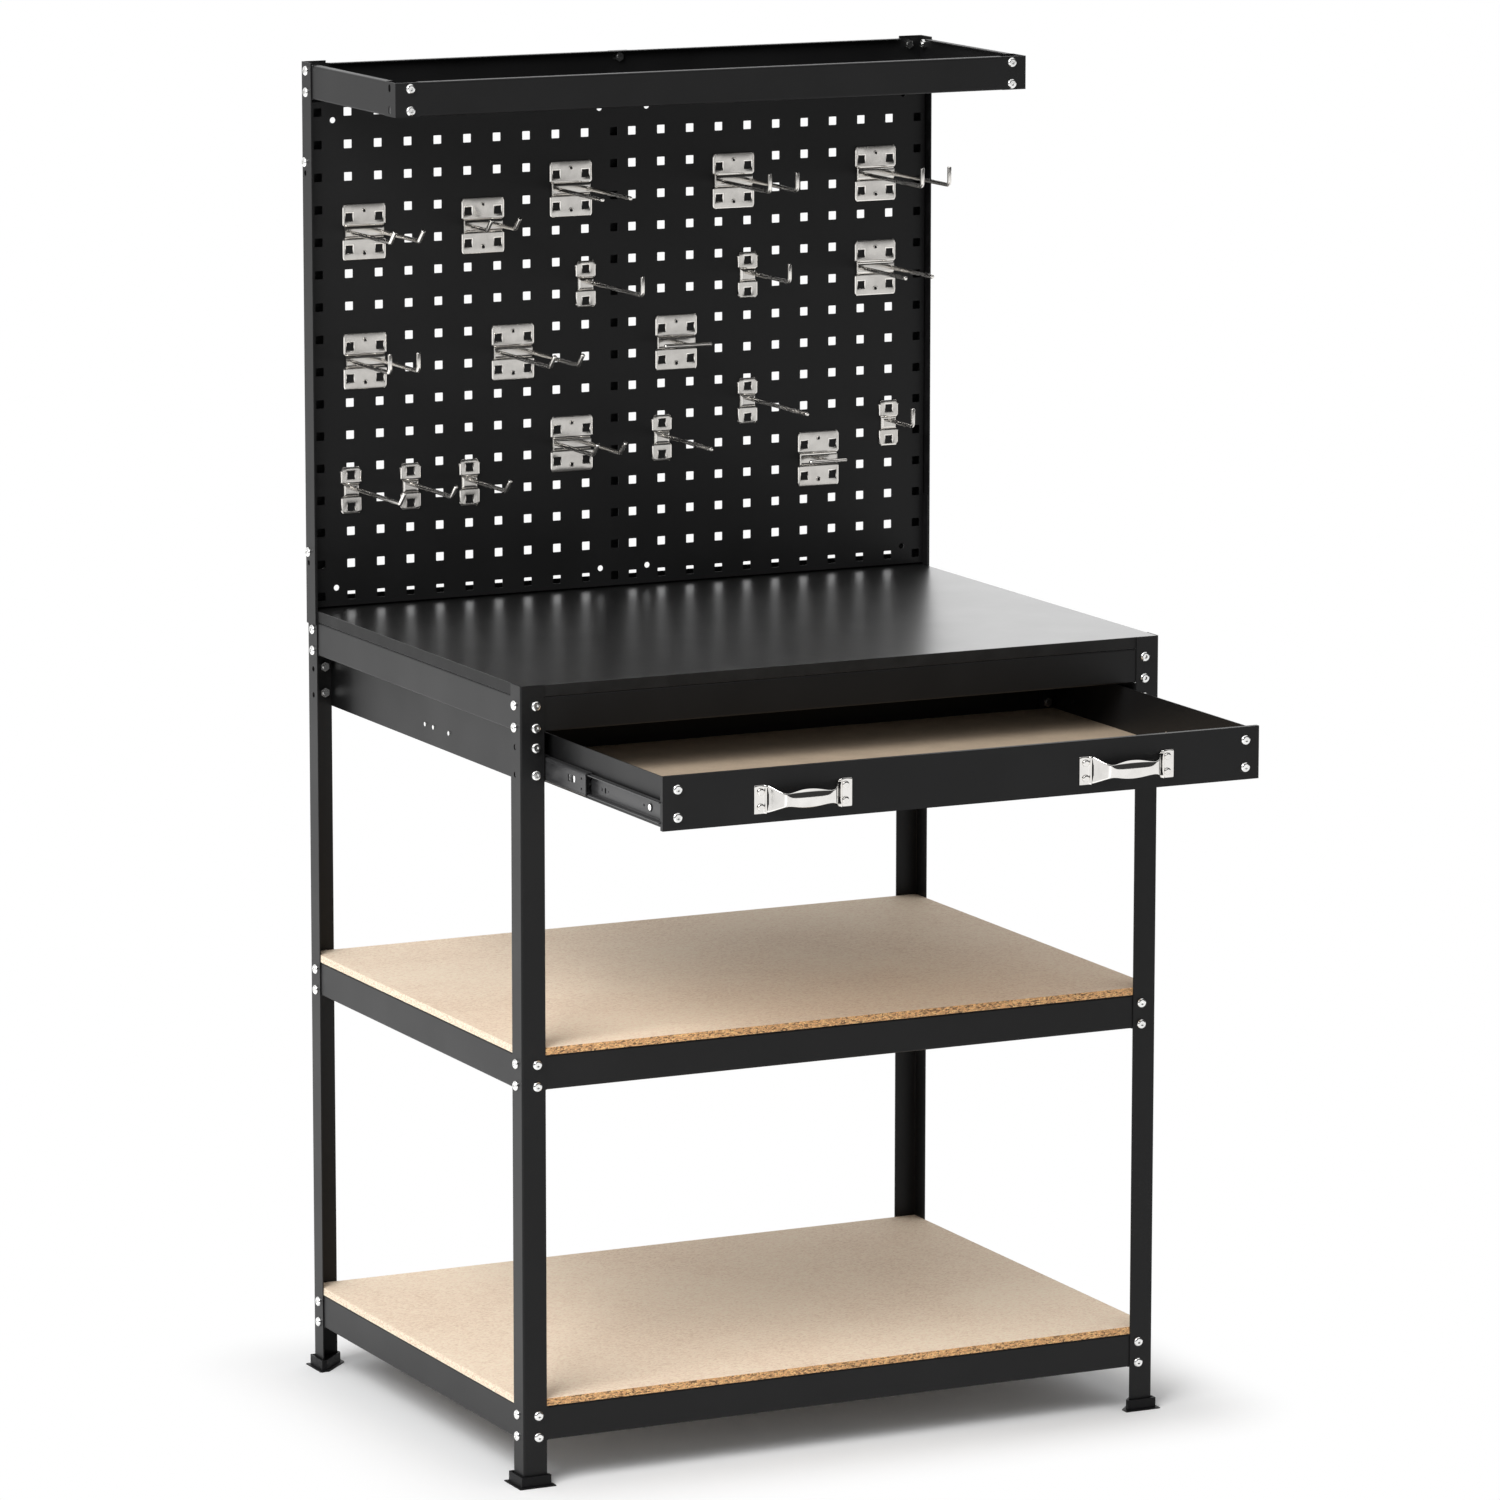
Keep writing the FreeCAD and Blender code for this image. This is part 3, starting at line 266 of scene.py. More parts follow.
def add_sheet(name, centre, width, height, turn=FACING_FRONT):
    clear_selection()
    bpy.ops.mesh.primitive_plane_add(size=1, location=centre, rotation=turn)
    bpy.context.object.scale = (width, height, 1)
    return start_with(name)


def add_disc(name, centre, radius, corners, turn=FACING_FRONT):
    clear_selection()
    bpy.ops.mesh.primitive_circle_add(vertices=corners, radius=radius, fill_type="NGON",
                                      location=centre, rotation=turn)
    return start_with(name)


def close_edit():
    bpy.ops.object.mode_set(mode="OBJECT")


def choose(piece, kind, test):
    """Selects the vertices, edges or faces of the piece in edit mode that pass the test."""
    bpy.ops.mesh.select_all(action="DESELECT")
    bpy.ops.mesh.select_mode(type=kind)
    shape = bmesh.from_edit_mesh(piece.data)
    for element in {"VERT": shape.verts, "EDGE": shape.edges, "FACE": shape.faces}[kind]:
        if test(element):
            element.select_set(True)
    shape.select_flush_mode()
    bmesh.update_edit_mesh(piece.data)


def near(value, wanted):
    return abs(value - wanted) < NEAR


def is_upright(edge):
    return abs(edge.verts[0].co.z - edge.verts[1].co.z) > 1 * MM


def middle_of(element):
    points = [vertex.co for vertex in element.verts]
    return sum(points, Vector()) / len(points)


def cut(axis, place):
    """Cuts every face along a plane across an axis."""
    normal = [float(index == axis) for index in range(3)]
    bpy.ops.mesh.select_all(action="SELECT")
    bpy.ops.mesh.bisect(plane_co=[place * share for share in normal], plane_no=normal)


def cut_out(piece, test):
    """Takes out the faces that pass the test."""
    choose(piece, "FACE", test)
    bpy.ops.mesh.delete(type="FACE")


def cut_windows(sheet, axis, windows, places=(), levels=()):
    """Cuts windows, each from and to along an axis and in height, out of an upright sheet, and
    cuts the sheet along more places and levels."""
    for place in sorted({edge for window in windows for edge in window[:2]} | set(places)):
        cut(axis, place)
    for level in sorted({edge for window in windows for edge in window[2:]} | set(levels)):
        cut(2, level)
    cut_out(sheet, lambda f: any(first < middle_of(f)[axis] < last and low < middle_of(f).z < high
                                 for first, last, low, high in windows))


def push(shift):
    bpy.ops.transform.translate(value=shift)


def pull_out(shift):
    bpy.ops.mesh.extrude_region_move(TRANSFORM_OT_translate={"value": shift})


def stretch(factors, about):
    bpy.ops.transform.resize(value=factors, center_override=about)


def finish_with(piece, kind, **values):
    """Adds a modifier and applies it."""
    take(piece)
    modifier = piece.modifiers.new(kind.title(), kind)
    for key, value in values.items():
        setattr(modifier, key, value)
    bpy.ops.object.modifier_apply(modifier=modifier.name)


def round_edges(piece, width, steps=2, angle=30):
    finish_with(piece, "BEVEL", width=width, segments=steps, limit_method="ANGLE",
                angle_limit=math.radians(angle))


def tidy_mesh(piece, open_sheet=False):
    """Joins doubled points and turns the faces outwards, an open sheet's faces to the front."""
    open_edit(piece)
    bpy.ops.mesh.remove_doubles(threshold=0.01 * MM)
    bpy.ops.mesh.normals_make_consistent(inside=False)
    if open_sheet:
        faces = bmesh.from_edit_mesh(piece.data).faces
        if sum(face.normal.y * face.calc_area() for face in faces) > 0:
            bpy.ops.mesh.flip_normals()
    close_edit()


def smooth(piece, angle=35):
    take(piece)
    bpy.ops.object.shade_smooth_by_angle(angle=math.radians(angle))
    return piece


def smooth_flats(piece, angle=35):
    """Smooths the rounded edges and keeps the large faces flat."""
    smooth(piece, angle)
    finish_with(piece, "WEIGHTED_NORMAL", keep_sharp=True)
    return piece


def copy_of(piece, name, shift):
    twin = piece.copy()
    twin.data = piece.data.copy()
    bpy.context.collection.objects.link(twin)
    twin.location = shift
    return settle(twin, name)


def merge(name, pieces):
    take(*pieces)
    bpy.ops.object.join()
    pieces[0].name = name
    return pieces[0]


def hand_over(piece, material, slot, body, *nodes):
    """Gives a finished piece its material, its body and the nodes it stands for."""
    piece.data.materials.clear()
    piece.data.materials.append(material)
    if nodes:
        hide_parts(*nodes)
    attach(piece, body)


def paint(piece, material, test):
    """Gives the faces that pass the test a material of their own."""
    piece.data.materials.append(material)
    open_edit(piece)
    choose(piece, "FACE", test)
    piece.active_material_index = len(piece.data.materials) - 1
    bpy.ops.object.material_slot_assign()
    close_edit()


def dress(starts, material):
    """Gives the CAD nodes whose names start so their material."""
    for name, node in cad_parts.items():
        if name.startswith(starts):
            for slot in node.material_slots:
                slot.material = material


# Materials

def rgba(colour):
    """A colour with its alpha, or a socket as it is."""
    return colour if isinstance(colour, bpy.types.NodeSocket) else (*colour, 1.0)


def tinted(colour, factor):
    return [min(1, channel * factor) for channel in colour]


class NodeWork:
    """A node tree under construction."""

    def __init__(self, tree):
        self.tree = tree
        tree.nodes.clear()

    def add(self, kind, inputs=None, output=0, **values):
        """Adds a node, feeds its inputs and gives one of its outputs."""
        node = self.tree.nodes.new("ShaderNode" + kind)
        for key, value in values.items():
            setattr(node, key, value)
        for socket, value in (inputs or {}).items():
            self.feed(node.inputs[socket], value)
        return node.outputs[output]

    def feed(self, socket, value):
        if isinstance(value, bpy.types.NodeSocket):
            self.tree.links.new(value, socket)
        else:
            socket.default_value = value

    def band(self, value, low, high, bottom=0.0, top=1.0, kind="LINEAR"):
        """Takes the range low to high to the range bottom to top."""
        return self.add("MapRange", {"Value": value, "From Min": low, "From Max": high,
                                     "To Min": bottom, "To Max": top}, interpolation_type=kind)

    def math(self, operation, first, second=0.0):
        return self.add("Math", {0: first, 1: second}, operation=operation)

    def plus(self, first, second):
        return self.math("ADD", first, second)

    def times(self, first, second):
        return self.math("MULTIPLY", first, second)

    def larger(self, first, second):
        return self.math("MAXIMUM", first, second)

    def mean(self, factor, first, second):
        return self.add("Mix", {0: factor, 2: first, 3: second}, data_type="FLOAT")

    def along(self, vector, axis):
        return self.add("SeparateXYZ", {0: vector}, axis)

    def choice(self, factor, first, second):
        return self.add("MixShader", {0: factor, 1: first, 2: second})

    def seen_rays(self):
        """1 for rays of the camera and through glass, and 1 for rays of reflections."""
        camera, through, mirrored = (self.add("LightPath", output=f"Is {kind} Ray")
                                     for kind in ("Camera", "Transmission", "Glossy"))
        return self.larger(camera, through), mirrored


class Shading(NodeWork):
    """A material under construction."""

    sockets = {"colour": "Base Color", "roughness": "Roughness", "metallic": "Metallic",
               "specular": "Specular IOR Level", "normal": "Normal", "coat": "Coat Weight",
               "coat_roughness": "Coat Roughness"}

    def __init__(self, name):
        self.material = bpy.data.materials.get(name) or bpy.data.materials.new(name)
        self.material.use_nodes = True
        super().__init__(self.material.node_tree)
        self.surface = self.add("BsdfPrincipled")
        self.output = self.tree.nodes.new("ShaderNodeOutputMaterial").inputs["Surface"]
        self.feed(self.output, self.surface)
        self.place = self.add("TexCoord", output="Object")

    def stretched(self, *scale):
        return self.add("Mapping", {"Vector": self.place, "Scale": scale})

    def noise(self, scale, detail=2, roughness=0.5, place=None):
        return self.add("TexNoise", {"Vector": place or self.place, "Scale": scale,
                                     "Detail": detail, "Roughness": roughness}, "Fac")

    def chips(self, scale, place):
        """A random number for each cell of the space."""
        cells = self.add("TexVoronoi", {"Vector": place, "Scale": scale}, "Color", feature="F1")
        return self.add("SeparateColor", {0: cells})

    def chip_edges(self, scale, place):
        """The distance to the edge of the cell."""
        return self.add("TexVoronoi", {"Vector": place, "Scale": scale}, "Distance",
                        feature="DISTANCE_TO_EDGE")

    def blend(self, factor, first, second):
        return self.add("Mix", {0: factor, 6: rgba(first), 7: rgba(second)}, 2, data_type="RGBA")

    def ramp(self, value, *stops):
        colour = self.add("ValToRGB", {0: value})
        elements = colour.node.color_ramp.elements
        elements.remove(elements[-1])
        elements[0].position = stops[0][0]
        elements[0].color = rgba(stops[0][1])
        for position, stop in stops[1:]:
            elements.new(position).color = rgba(stop)
        return colour

    def bump(self, height, distance, strength, **over):
        return self.add("Bump", {"Strength": strength, "Distance": distance, "Height": height,
                                 **over})

    def face_normal(self, axis):
        return self.along(self.add("NewGeometry", output="Normal"), axis)

    def facing(self, axis):
        """1 on faces that look along an axis, either way, and 0 on the others."""
        return self.band(self.math("ABSOLUTE", self.face_normal(axis)), 0.45, 0.75)

    def put(self, **values):
        for key, value in values.items():
            socket = self.surface.node.inputs[self.sockets[key]]
            self.feed(socket, rgba(value) if key == "colour" else value)
        return self.material

    def put_uneven(self, clouds, low, high, colour, tint, smooth, rough, **rest):
        """A colour and a roughness that change with the same clouds."""
        tone = self.blend(self.band(clouds, low, high), colour, tinted(colour, tint))
        return self.put(colour=tone, roughness=self.band(clouds, 0.3, 0.7, smooth, rough), **rest)


def coated_steel(colour):
    """Black powder coat: a faint orange peel, uneven gloss and a little dust in the colour."""
    make = Shading("black powder coat")
    peel = make.plus(make.times(make.noise(420, 3), 0.6), make.noise(1100))
    return make.put_uneven(make.noise(9, 3), 0.35, 0.7, colour, 1.35, 0.39, 0.46,
                           specular=0.23, normal=make.bump(peel, 0.02 * MM, 0.35))


def glossy_laminate(colour):
    """Black laminate with a soft mirror: a clear film over a faintly hazy base."""
    make = Shading("worktop laminate")
    roughness = make.band(make.noise(14, 4, 0.6), 0.3, 0.75, 0.31, 0.36)
    return make.put(colour=colour, roughness=roughness, specular=0.9, coat=1.0,
                    coat_roughness=0.33, normal=make.bump(make.noise(260), 0.01 * MM, 0.2))


def edge_band(colour):
    """The worktop's glued-on edge strip: matt, with fine lengthwise ribs."""
    make = Shading("worktop edge band")
    ribs = make.noise(800, place=make.stretched(0.05, 0.05, 1.0))
    return make.put_uneven(make.noise(35, 4, 0.6), 0.4, 0.75, colour, 1.6, 0.5, 0.62,
                           specular=0.18, normal=make.bump(ribs, 0.04 * MM, 0.4))


def chip_board(pale, dark, edge):
    """Pressed chips: sanded on top, coarse in front and behind, painted shade below, pale ends as
    painted highlight.
    """
    make = Shading("chipboard")
    flakes = make.chips(640, make.stretched(0.6, 1.0, 1.0))
    dust = make.noise(1300, 4, 0.65)
    drift = make.band(make.noise(6, 3), 0.3, 0.7, -0.10, 0.10)
    tone = make.plus(make.plus(make.times(flakes, 0.5), make.times(dust, 0.5)), drift)
    face = make.ramp(tone, (0.22, dark), (0.50, pale), (0.85, tinted(pale, 1.12)))
    specks = make.band(make.noise(520, 1), 0.70, 0.76)
    face = make.blend(make.times(specks, 0.3), face, tinted(dark, 0.6))
    side = make.stretched(0.55, 0.55, 1.2)
    chips = make.chips(640, side)
    gaps = make.chip_edges(640, side)
    rim = make.ramp(chips, (0.08, tinted(edge, 0.3)), (0.3, edge), (0.7, tinted(edge, 1.4)),
                    (1.0, tinted(edge, 1.9)))
    rim = make.blend(make.band(gaps, 0.0, 0.07, 0.7, 0.0), rim, tinted(dark, 0.25))
    # Painted highlight: both end faces, looking along X, get paler chips as if lit from the side
    ends = make.ramp(chips, (0.1, dark), (0.4, pale), (1.0, tinted(pale, 1.2)))
    rim = make.blend(make.facing(0), rim, ends)
    flat = make.facing(2)
    colour = make.blend(flat, rim, face)
    # Painted shade: faces looking down get a darker, greyer colour, so less warm light bounces onto
    # the floor below
    painted_shade_below = make.blend(tone, (0.30, 0.27, 0.24), (0.48, 0.44, 0.40))
    colour = make.blend(make.band(make.face_normal(2), -0.75, -0.45, 1.0, 0.0), colour, painted_shade_below)
    normal = make.bump(make.times(flakes, 0.3), 0.06 * MM, 0.4)
    rough_edge = make.times(chips, make.band(gaps, 0, 0.1))
    normal = make.bump(make.mean(flat, rough_edge, 0.5), 0.5 * MM, 0.8, Normal=normal)
    return make.put(colour=colour, roughness=0.7, specular=0.3, normal=normal)


def fibre_board(colour):
    """The drawer's thin floor: soft mottling and short fibres."""
    make = Shading("drawer floor board")
    mottle = make.noise(26, 5, 0.65)
    fibre = make.noise(700, 3, 0.6, make.stretched(0.35, 1.0, 1.0))
    tone = make.plus(make.times(mottle, 0.55), make.times(fibre, 0.45))
    shade = make.ramp(tone, (0.3, tinted(colour, 0.80)), (0.55, colour),
                      (0.8, tinted(colour, 1.14)))
    return make.put(colour=shade, roughness=0.55, specular=0.35,
                    normal=make.bump(fibre, 0.05 * MM, 0.4))


def plated_metal(name, colour, low, high, drawn=0.0):
    """Plating with a cloudy gloss between two roughnesses, and drawn lines of some strength."""
    make = Shading(name)
    if drawn:
        lines = make.noise(900, place=make.stretched(0.08, 1.0, 1.0))
        make.put(normal=make.bump(lines, 0.01 * MM, drawn))
    return make.put_uneven(make.noise(60, 4, 0.6), 0.35, 0.75, colour, 0.88, low, high,
                           metallic=1.0)


def bright_zinc(colour):
    return plated_metal("bright zinc", colour, 0.16, 0.26)


def slide_plating(colour):
    """Black plating with streaks along the rolled members."""
    make = Shading("black slide plating")
    streaks = make.noise(500, 3, 0.5, make.stretched(1.0, 0.03, 1.0))
    tone = make.blend(make.band(streaks, 0.35, 0.65), tinted(colour, 0.85), tinted(colour, 1.25))
    return make.put(colour=tone, roughness=make.band(streaks, 0.3, 0.7, 0.33, 0.40),
                    specular=0.4, normal=make.bump(streaks, 0.01 * MM, 0.4))


def moulded_plastic(name, colour):
    """Black plastic with a fine mould grain and scuffs."""
    make = Shading(name)
    return make.put_uneven(make.noise(90, 4, 0.7), 0.45, 0.8, colour, 1.7, 0.42, 0.58,
                           specular=0.18, normal=make.bump(make.noise(1500, 3), 0.03 * MM, 0.5))


# Operators: coats and boards

class WORKBENCH_OT_coat_steel(Operator):
    """Coat the legs, rails, panels, tray, drawer and carriers in black"""
    bl_idname = "workbench.coat_steel"
    bl_label = "Coat the steel"

    def execute(self, context):
        _, finishes = settings()
        dress(("leg_", "upright_", "bench_rail", "middle_rail", "lower_rail", "pegboard_", "tray_",
               "centre_bar", "slide_carrier", "drawer_front", "drawer_back", "drawer_side"),
              coated_steel(finishes.coat))
        return {"FINISHED"}


class WORKBENCH_OT_dress_small_parts(Operator):
    """Finish the drawer's floor, the bolts, nuts and rivets, and the slides' fixed members"""
    bl_idname = "workbench.dress_small_parts"
    bl_label = "Small parts"

    def execute(self, context):
        _, finishes = settings()
        dress("drawer_floor", fibre_board(finishes.drawer_board))
        dress(("frame_bolts", "frame_nuts", "drawer_bolts", "drawer_nuts", "carrier_rivets",
               "drawer_slide_rivets"), bright_zinc(finishes.zinc))
        dress("slide_outer", slide_plating(finishes.slide))
        return {"FINISHED"}


def flat_board(name, node, corner_steps, edge_steps):
    """A board in a node's box with rounded corners and eased edges."""
    sizes, _ = settings()
    board = add_block(name, *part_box(node))
    choose(board, "EDGE", is_upright)
    bpy.ops.mesh.bevel(offset=2 * MM, segments=corner_steps, affect="EDGES")
    round_edges(board, sizes.board_edge, edge_steps)
    return smooth_flats(board)


class WORKBENCH_OT_make_worktop(Operator):
    """Make the laminated worktop with its eased edges"""
    bl_idname = "workbench.make_worktop"
    bl_label = "Worktop"

    def execute(self, context):
        _, finishes = settings()
        top = flat_board("worktop_board", "worktop", 4, 3)
        hand_over(top, glossy_laminate(finishes.laminate), "worktop_laminate", "frame", "worktop")
        paint(top, edge_band(finishes.edge_band), lambda f: abs(f.normal.z) < 0.3)
        return {"FINISHED"}


class WORKBENCH_OT_make_shelf_boards(Operator):
    """Make the two chipboard shelves"""
    bl_idname = "workbench.make_shelf_boards"
    bl_label = "Shelf boards"

    def execute(self, context):
        _, finishes = settings()
        wood = chip_board(finishes.board_pale, finishes.board_dark, finishes.edge_chip)
        for level in ("middle", "lower"):
            node = f"{level}_shelf_board"
            board = flat_board(f"{level}_chipboard", node, 3, 2)
            hand_over(board, wood, "particle_board", "frame", node)
        return {"FINISHED"}


# Operators: handles

def make_strap(name, x, y, z, sizes):
    """A strap on the face at y: drawn out row by row, then crowned, with dented end plates."""
    first, second = GRIP_ROWS[:2]
    crown_scale = sizes.grip_crown / GRIP_CROWN
    y -= first[1] * MM
    strap = add_sheet(name, (x + (first[0] + second[0]) / 2 * MM, y, z),
                      (second[0] - first[0]) * MM, 2 * second[2] * MM)
    for level in sorted({way * level for level, _ in STRAP_LEVELS[1:] for way in (-1, 1)} | {0}):
        cut(2, z + level * second[2] * MM)
    for here, step in zip(GRIP_ROWS[1:], GRIP_ROWS[2:]):
        edge_x = x + here[0] * MM
        choose(strap, "EDGE", lambda e: all(near(v.co.x, edge_x) for v in e.verts))
        pull_out(((step[0] - here[0]) * MM, (here[1] - step[1]) * MM, 0))
        if abs(step[2] - here[2]) > 0.001:
            stretch((1, 1, step[2] / here[2]), (x, y, z))
    for along, _, tall, crown in GRIP_ROWS:
        row_x = x + along * MM
        for level, share in STRAP_LEVELS if crown else ():
            choose(strap, "VERT", lambda v: near(v.co.x, row_x)
                   and abs(abs(v.co.z - z) - level * tall * MM) < 0.05 * tall * MM)
            push((0, crown * crown_scale * share, 0))
    choose(strap, "VERT", lambda v: 50 * MM < abs(v.co.x - x) < 56.5 * MM
           and abs(v.co.z - z) < 14.5 * MM)
    push((0, 0.35 * MM, 0))
    tidy_mesh(strap, open_sheet=True)
    finish_with(strap, "SOLIDIFY", thickness=sizes.strap_sheet, offset=-1)
    finish_with(strap, "SUBSURF", levels=2, render_levels=2)
    return smooth(strap, 45)


def in_painted_seam_shadow(point, x, z):
    """Whether a point lies in the curved band of painted shadow where the strap leaves its end
    plates.
    """
    rise = (point.z - z) / (12.5 * MM)
    line = (43.2 + 1.3 * rise * rise) * MM
    return abs(rise) < 1 and abs(abs(point.x - x) - line) < 0.9 * MM


def dome_end(piece, point, heading, steps, angle):
    """Draws the selected end out along a heading, each step to a share of its length and size."""
    size = 1.0
    done = 0.0
    for reach, wanted in steps:
        pull_out(heading * (reach - done))
        stretch((wanted / size,) * 3, point + heading * reach)
        size = wanted
        done = reach
    tidy_mesh(piece)
    return smooth(piece, angle)


def round_head(centre):
    """A rivet's low head with a nearly flat top that stands out towards the front."""
    head = add_disc("rivet", centre, 4.1 * MM, 20)
    return dome_end(head, Vector(centre), Vector((0, -1.6 * MM, 0)),
                    ((0.45, 0.985), (0.78, 0.93), (0.94, 0.80), (1.0, 0.50), (1.01, 0.20)), 50)


class WORKBENCH_OT_make_handles(Operator):
    """Make the two pressed strap handles with their rivets"""
    bl_idname = "workbench.make_handles"
    bl_label = "Handles"

    def execute(self, context):
        sizes, finishes = settings()
        chrome = plated_metal("handle chrome", finishes.chrome, 0.07, 0.10)
        low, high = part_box("handle_left")
        x, y, z = (low.x + high.x) / 2, high.y, (low.z + high.z) / 2
        strap = make_strap("handle_strap_left", x, y, z, sizes)
        rivets = merge("rivets", [
            round_head((x + end * RIVET_ALONG, y - RIVET_FACE, z + level * RIVET_UP))
            for end in (-1, 1) for level in (-1, 1)])
        low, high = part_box("handle_right")
        shift = ((low.x + high.x) / 2 - x, 0, 0)
        strap_right = copy_of(strap, "handle_strap_right", shift)
        rivets_right = copy_of(rivets, "rivets_right", shift)
        # Dark plastic as painted shadow in the curved seams beside the end plates
        dark = moulded_plastic("handle painted seam shadow", finishes.plastic)
        for piece, middle, node in ((strap, x, "handle_left"),
                                    (strap_right, x + shift[0], "handle_right")):
            hand_over(piece, chrome, "handle_metal", "drawer", node)
            paint(piece, dark, lambda f: in_painted_seam_shadow(middle_of(f), middle, z))
        both = merge("handle_rivet_heads", [rivets, rivets_right])
        hand_over(both, chrome, "handle_metal", "drawer", "handle_rivets")
        return {"FINISHED"}


# Operators: feet

def foot_layer(corner, inward, spread, height):
    """A layer of a foot: square at the leg's outer corner, its inner half cut away slantwise."""
    out = FOOT_WALL + spread
    reach = LEG_WIDTH + out
    shoulder = FOOT_SHOULDER + spread * (math.sqrt(2) - 1)
    ends = [sorted((place - way * out, place + way * reach)) for place, way in zip(corner, inward)]
    layer = add_block("layer", (ends[0][0], ends[1][0], 0), (ends[0][1], ends[1][1], height))
    slant = (corner[0] + inward[0] * reach, corner[1] + inward[1] * shoulder, 0)
    bpy.ops.mesh.bisect(plane_co=slant, plane_no=(*inward, 0), use_fill=True, clear_outer=True)
    choose(layer, "EDGE", is_upright)
    bpy.ops.mesh.bevel(offset=0.9 * MM, segments=3, affect="EDGES")
    close_edit()
    return layer


def make_foot(node, inward, sizes):
    """A foot with a sunk top inside its rim, on a base flange."""
    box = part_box(node)
    corner = [box[way < 0][axis] + way * (FOOT_WALL + FOOT_FLANGE)
              for axis, way in enumerate(inward)]
    top = box[1].z
    body = foot_layer(corner, inward, 0, top)
    open_edit(body)
    choose(body, "FACE", lambda f: f.normal.z > 0.9)
    stretch((0.99, 0.99, 1), (*corner, top))
    bpy.ops.mesh.inset(thickness=1.9 * MM)
    pull_out((0, 0, -2.4 * MM))
    round_edges(body, sizes.foot_edge, 3, 40)
    base = foot_layer(corner, inward, FOOT_FLANGE, 1.5 * MM)
    round_edges(base, 0.4 * MM, angle=40)
    foot = merge(f"{node}_moulding", [body, base])
    tidy_mesh(foot)
    return smooth_flats(foot, 40)


class WORKBENCH_OT_make_feet(Operator):
    """Make the four plastic feet with their rim and base flange"""
    bl_idname = "workbench.make_feet"
    bl_label = "Feet"

    def execute(self, context):
        sizes, finishes = settings()
        plastic = moulded_plastic("foot plastic", finishes.plastic)
        for end, inward_y in (("front", 1), ("rear", -1)):
            for side, inward_x in (("left", 1), ("right", -1)):
                node = f"foot_{end}_{side}"
                foot = make_foot(node, (inward_x, inward_y), sizes)
                hand_over(foot, plastic, "black_plastic", "frame", node)
        return {"FINISHED"}


# Operators: hooks

def hook_centre(side, column, row, wide):
    """The place of a plate's middle across and up."""
    from_seam = PEG_COLUMNS - 1 - column if side < 0 else column
    x = side * (PEG_SEAM_MARGIN + from_seam * PEG_PITCH)
    return x + (PEG_PITCH / 2 if wide else 0), PEG_TOP_ROW - row * PEG_PITCH - HOOK_DROP


def stamp(plate, width, height, corner, corner_steps, columns, floors):
    """Cuts the windows and the waist of a plate out and raises its band and its ends."""
    side = width / 2
    waist = side - NOTCH
    windows = [(offset - WINDOW_HALF, offset + WINDOW_HALF, floor - 2 * WINDOW_HALF, floor)
               for offset in columns for floor in floors]
    levels = [way * level for way in (-1, 1) for level in (BAND_HALF, BAND_HALF + NOTCH)]
    cut_windows(plate, 0, windows, (waist, -waist), levels)
    cut_out(plate, lambda f: abs(middle_of(f).x) > waist and abs(middle_of(f).z) < BAND_HALF)
    for sign in (-1, 1):
        choose(plate, "VERT", lambda v: near(abs(v.co.x), side)
               and near(v.co.z, sign * BAND_HALF))
        push((0, 0, sign * NOTCH * 0.9))
    choose(plate, "VERT", lambda v: near(abs(v.co.x), side) and near(abs(v.co.z), height / 2))
    bpy.ops.mesh.bevel(offset=corner, segments=corner_steps, affect="VERTICES")
    choose(plate, "FACE", lambda f: abs(middle_of(f).z) < BAND_HALF and abs(middle_of(f).x) < waist)
    for inset, rise in BAND_STEPS:
        bpy.ops.mesh.inset(thickness=inset * MM)
        push((0, -rise * MM, 0))
    choose(plate, "FACE", lambda f: abs(middle_of(f).z) > BAND_HALF)
    bpy.ops.mesh.inset(thickness=1.1 * MM, use_boundary=True)
    push((0, -END_RISE, 0))
    close_edit()


def peg_tab(x, floor):
    """The tab bent back over a window's floor, which hooks down behind the panel."""
    behind = PANEL_FACE + 1.35 * MM
    tab = add_block("tab", (x - 4 * MM, PANEL_FACE - 1.2 * MM, floor + 0.05 * MM),
                    (x + 4 * MM, behind + 1.3 * MM, floor + 1.35 * MM))
    cut(1, behind)
    choose(tab, "FACE", lambda f: f.normal.z < -0.9 and middle_of(f).y > behind)
    pull_out((0, 0, -5.5 * MM))
    round_edges(tab, 0.3 * MM)
    return tab


def eyelet(z, foot, radius):
    """A low ring on a plate with its floor just before the plate's face."""
    ring = add_disc("eyelet", (0, foot, z), radius, 20)
    pull_out((0, -1.0 * MM, 0))
    bpy.ops.mesh.inset(thickness=0.8 * MM)
    pull_out((0, 1.0 * MM - EYELET_FLOOR, 0))
    tidy_mesh(ring)
    round_edges(ring, 0.2 * MM)
    return smooth(ring, 40)


def hook_plate(width, height, corner, corner_steps, columns, sheet):
    """One stamped plate with its tabs and eyelets, centred on the origin in X and Z."""
    floors = (HOOK_DROP - 5 * MM, HOOK_DROP - PEG_PITCH - 5 * MM)
    front = PANEL_FACE - sheet
    plate = add_sheet("plate", (0, front, 0), width, height)
    stamp(plate, width, height, corner, corner_steps, columns, floors)
    tidy_mesh(plate, open_sheet=True)
    finish_with(plate, "SOLIDIFY", thickness=sheet, offset=-1)
    round_edges(plate, 0.3 * MM, angle=40)
    smooth_flats(plate, 40)
    parts = [plate] + [peg_tab(offset, floor) for floor in floors for offset in columns]
    if len(columns) > 1:
        parts += [eyelet(way * (height / 2 - 8 * MM), front - EYELET_FOOT, radius)
                  for way, radius in ((1, 2.6 * MM), (-1, 2.9 * MM))]
    return merge("pattern", parts)


